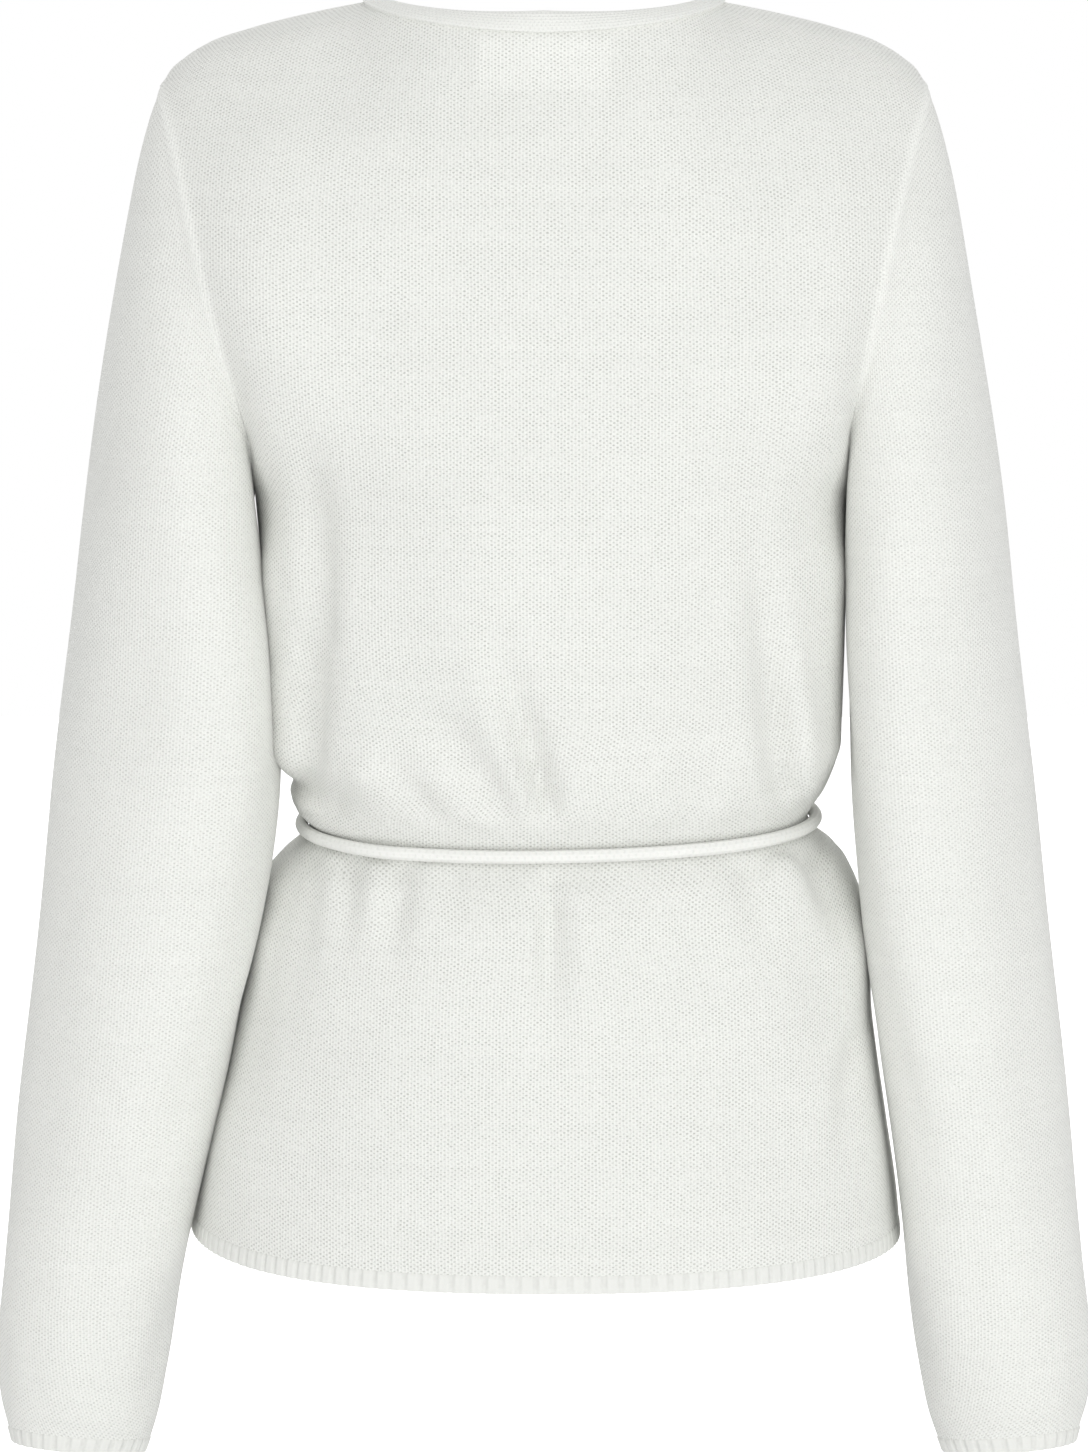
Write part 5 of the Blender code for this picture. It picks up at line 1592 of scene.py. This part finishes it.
class CARDIGAN_OT_hem(bpy.types.Operator):
    """Add the narrow ribs along the hem"""
    bl_idname = "cardigan.add_hem"
    bl_label = "Add Hem Ribs"

    def execute(self, context):
        edge_left = float(edge_angle("left", np.array(HEM_RIB_TOP)))
        edge_right = float(edge_angle("right", np.array(HEM_RIB_TOP)))
        strips = (
            ("hem_rib_back", 0.0, math.pi, False),
            ("hem_rib_front_right", math.pi, edge_right, True),
            ("hem_rib_front_left", edge_left, 2.0 * math.pi, False))
        for node, first, last, lifted in strips:
            angles = np.linspace(first, last, HEM_POINTS)
            line = torso(angles, np.full(angles.shape, HEM_RIB_TOP))
            points, uv = rib_points(hem_place(lifted), first, last, line_lengths(line)[-1])
            made = sheet_object("knit_" + node, points, uv, sizes().cloth_thickness, flip=True)
            dress(made, "rib_knit", node)
        return {"FINISHED"}


class CARDIGAN_OT_cuffs(bpy.types.Operator):
    """Add the narrow ribs round the cuffs"""
    bl_idname = "cardigan.add_cuffs"
    bl_label = "Add Cuff Ribs"

    def execute(self, context):
        for side in ("left", "right"):
            turns = np.arange(361.0)
            line = sleeve_ring(side, turns, np.full(turns.shape, CUFF_TOP))
            points, uv = rib_points(cuff_place(side), -180.0, 180.0, line_lengths(line)[-1])
            made = sheet_object(
                "knit_cuff_rib_" + side, points, uv, sizes().cloth_thickness,
                flip=side == "left", ring=True)
            dress(made, "rib_knit", "cuff_rib_" + side)
        return {"FINISHED"}


class CARDIGAN_OT_neck(bpy.types.Operator):
    """Add the band along the back neck"""
    bl_idname = "cardigan.add_neck"
    bl_label = "Add Neck Band"

    def execute(self, context):
        points, uv = neck_band_points()
        made = sheet_object("knit_neck_band", points, uv, BAND_THICKNESS * MM)
        dress(made, "band_knit", "neck_band_back")
        return {"FINISHED"}


class CARDIGAN_OT_belt(bpy.types.Operator):
    """Add the knitted belt cord with its knot and free ends"""
    bl_idname = "cardigan.add_belt"
    bl_label = "Add Belt"

    def execute(self, context):
        radius = sizes().cord_radius / MM
        angles = np.linspace(
            KNOT_ANGLE + KNOT_HALF_SPAN, KNOT_ANGLE - KNOT_HALF_SPAN + 2.0 * math.pi, BELT_POINTS)
        path = smooth_path(belt_point(angles, CORD_CLEARANCE), CORD_SPACING)
        made = cord_object("knit_belt", path, radius)
        dress(made, "belt_knit", "belt_cord")
        knot = knot_centre()
        strands = []
        for name, strand in zip(("knit_knot", "knot_strand"), KNOT_STRANDS):
            path = smooth_path(np.array(strand) + knot, CORD_SPACING * 0.5)
            strands.append(cord_object(name, path, radius * KNOT_TIGHTNESS))
        deselect()
        for strand in strands:
            strand.select_set(True)
        bpy.context.view_layer.objects.active = strands[0]
        bpy.ops.object.join()
        dress(strands[0], "belt_knit", "belt_knot")
        for node, start_offset, end_offset, bottom in BELT_ENDS:
            path = belt_end_path(start_offset, end_offset, bottom)
            made = cord_object("knit_" + node, path, radius)
            dress(made, "belt_knit", node)
        return {"FINISHED"}


class CARDIGAN_OT_label(bpy.types.Operator):
    """Add the blank label inside the back neck"""
    bl_idname = "cardigan.add_label"
    bl_label = "Add Label"

    def execute(self, context):
        back = bpy.data.objects["knit_back"]
        faces = [tuple(face.vertices) for face in back.data.polygons]
        tree = BVHTree.FromPolygons([corner.co for corner in back.data.vertices], faces)
        across = np.linspace(LABEL_HALF_WIDTH, -LABEL_HALF_WIDTH, LABEL_COLUMNS)
        level = np.linspace(LABEL_BOTTOM, LABEL_TOP, LABEL_ROWS)
        points = np.zeros((len(level), len(across), 3))
        for row, height in enumerate(level):
            for place, x in enumerate(across):
                start = Vector((x, 0.0, height + LABEL_LOOK_FROM)) * MM
                found = tree.ray_cast(start, Vector(LABEL_LOOK_TO))
                if found[0] is None:
                    raise RuntimeError("the label found no cloth at %.1f, %.1f" % (x, height))
                inward = found[1] if found[1].y < 0.0 else -found[1]
                points[row, place] = (found[0] + inward * LABEL_CLEARANCE * MM) / MM
        uv = np.stack(np.meshgrid(across, level), axis=-1)
        made = sheet_object("blank_label", points, uv, LABEL_THICKNESS * MM)
        dress(made, "label_tape", "neck_label")
        return {"FINISHED"}


class CARDIGAN_OT_stage(bpy.types.Operator):
    """Add the pale floor and backdrop, the soft lights and the camera"""
    bl_idname = "cardigan.add_stage"
    bl_label = "Add Stage"

    def execute(self, context):
        deselect()
        bpy.ops.mesh.primitive_plane_add(size=FLOOR_SIZE, location=(0.0, 0.0, FLOOR_HEIGHT))
        floor = context.object
        floor.name = "floor"
        floor.data.materials.append(named_material("stage_paper"))
        world = context.scene.world or bpy.data.worlds.new("studio")
        context.scene.world = world
        world.use_nodes = True
        tree = world.node_tree
        background = tree.nodes["Background"]
        background.inputs["Color"].default_value = (1.0, 1.0, 1.0, 1.0)
        ray = tree.nodes.new("ShaderNodeLightPath")
        strength = maths(tree, "MULTIPLY_ADD", ray.outputs["Is Camera Ray"], 1.0 - SKY, SKY)
        tree.links.new(strength, background.inputs["Strength"])
        for name, place, size, power in LIGHTS:
            add_light(name, place, LIGHT_TARGET, size, power)
        deselect()
        bpy.ops.object.camera_add(
            location=(0.0, CAMERA_DISTANCE, 0.0),
            rotation=(math.radians(90.0 - CAMERA_DOWN), 0.0, math.pi))
        camera = context.object
        camera.name = "camera"
        camera.data.sensor_fit = "VERTICAL"
        camera.data.sensor_height = CAMERA_SENSOR
        camera.data.sensor_width = CAMERA_SENSOR
        camera.data.lens = CAMERA_LENS
        context.scene.camera = camera
        context.scene.view_settings.view_transform = "Standard"
        return {"FINISHED"}


class CARDIGAN_PT_pieces(bpy.types.Panel):
    """Sizes, colours and buttons for the cardigan's pieces"""
    bl_idname = "CARDIGAN_PT_pieces"
    bl_label = "Wrap Cardigan"
    bl_space_type = "VIEW_3D"
    bl_region_type = "UI"
    bl_category = "Cardigan"

    def draw(self, context):
        for group in (sizes(), colours()):
            box = self.layout.box()
            for name in group.__annotations__:
                box.prop(group, name)
        for operator in OPERATORS:
            self.layout.operator(operator.bl_idname)


OPERATORS = (
    CARDIGAN_OT_back,
    CARDIGAN_OT_fronts,
    CARDIGAN_OT_sleeves,
    CARDIGAN_OT_hem,
    CARDIGAN_OT_cuffs,
    CARDIGAN_OT_neck,
    CARDIGAN_OT_belt,
    CARDIGAN_OT_label,
    CARDIGAN_OT_stage,
)
CLASSES = (CardiganSizes, CardiganColours) + OPERATORS + (CARDIGAN_PT_pieces,)


def register():
    """Makes the settings, the operators and the panel known."""
    for each in CLASSES:
        bpy.utils.register_class(each)
    bpy.types.Scene.cardigan_sizes = bpy.props.PointerProperty(type=CardiganSizes)
    bpy.types.Scene.cardigan_colours = bpy.props.PointerProperty(type=CardiganColours)


def unregister():
    """Takes them away again."""
    del bpy.types.Scene.cardigan_colours
    del bpy.types.Scene.cardigan_sizes
    for each in reversed(CLASSES):
        bpy.utils.unregister_class(each)


def main():
    """Builds the cardigan and its stage."""
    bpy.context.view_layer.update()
    register()
    stockinette_group()
    unevenness_group()
    bpy.ops.cardigan.add_hem()
    bpy.ops.cardigan.add_cuffs()
    bpy.ops.cardigan.add_neck()
    bpy.ops.cardigan.add_back()
    bpy.ops.cardigan.add_fronts()
    bpy.ops.cardigan.add_sleeves()
    bpy.ops.cardigan.add_belt()
    bpy.ops.cardigan.add_label()
    bpy.ops.cardigan.add_stage()


if __name__ == "__main__":
    main()
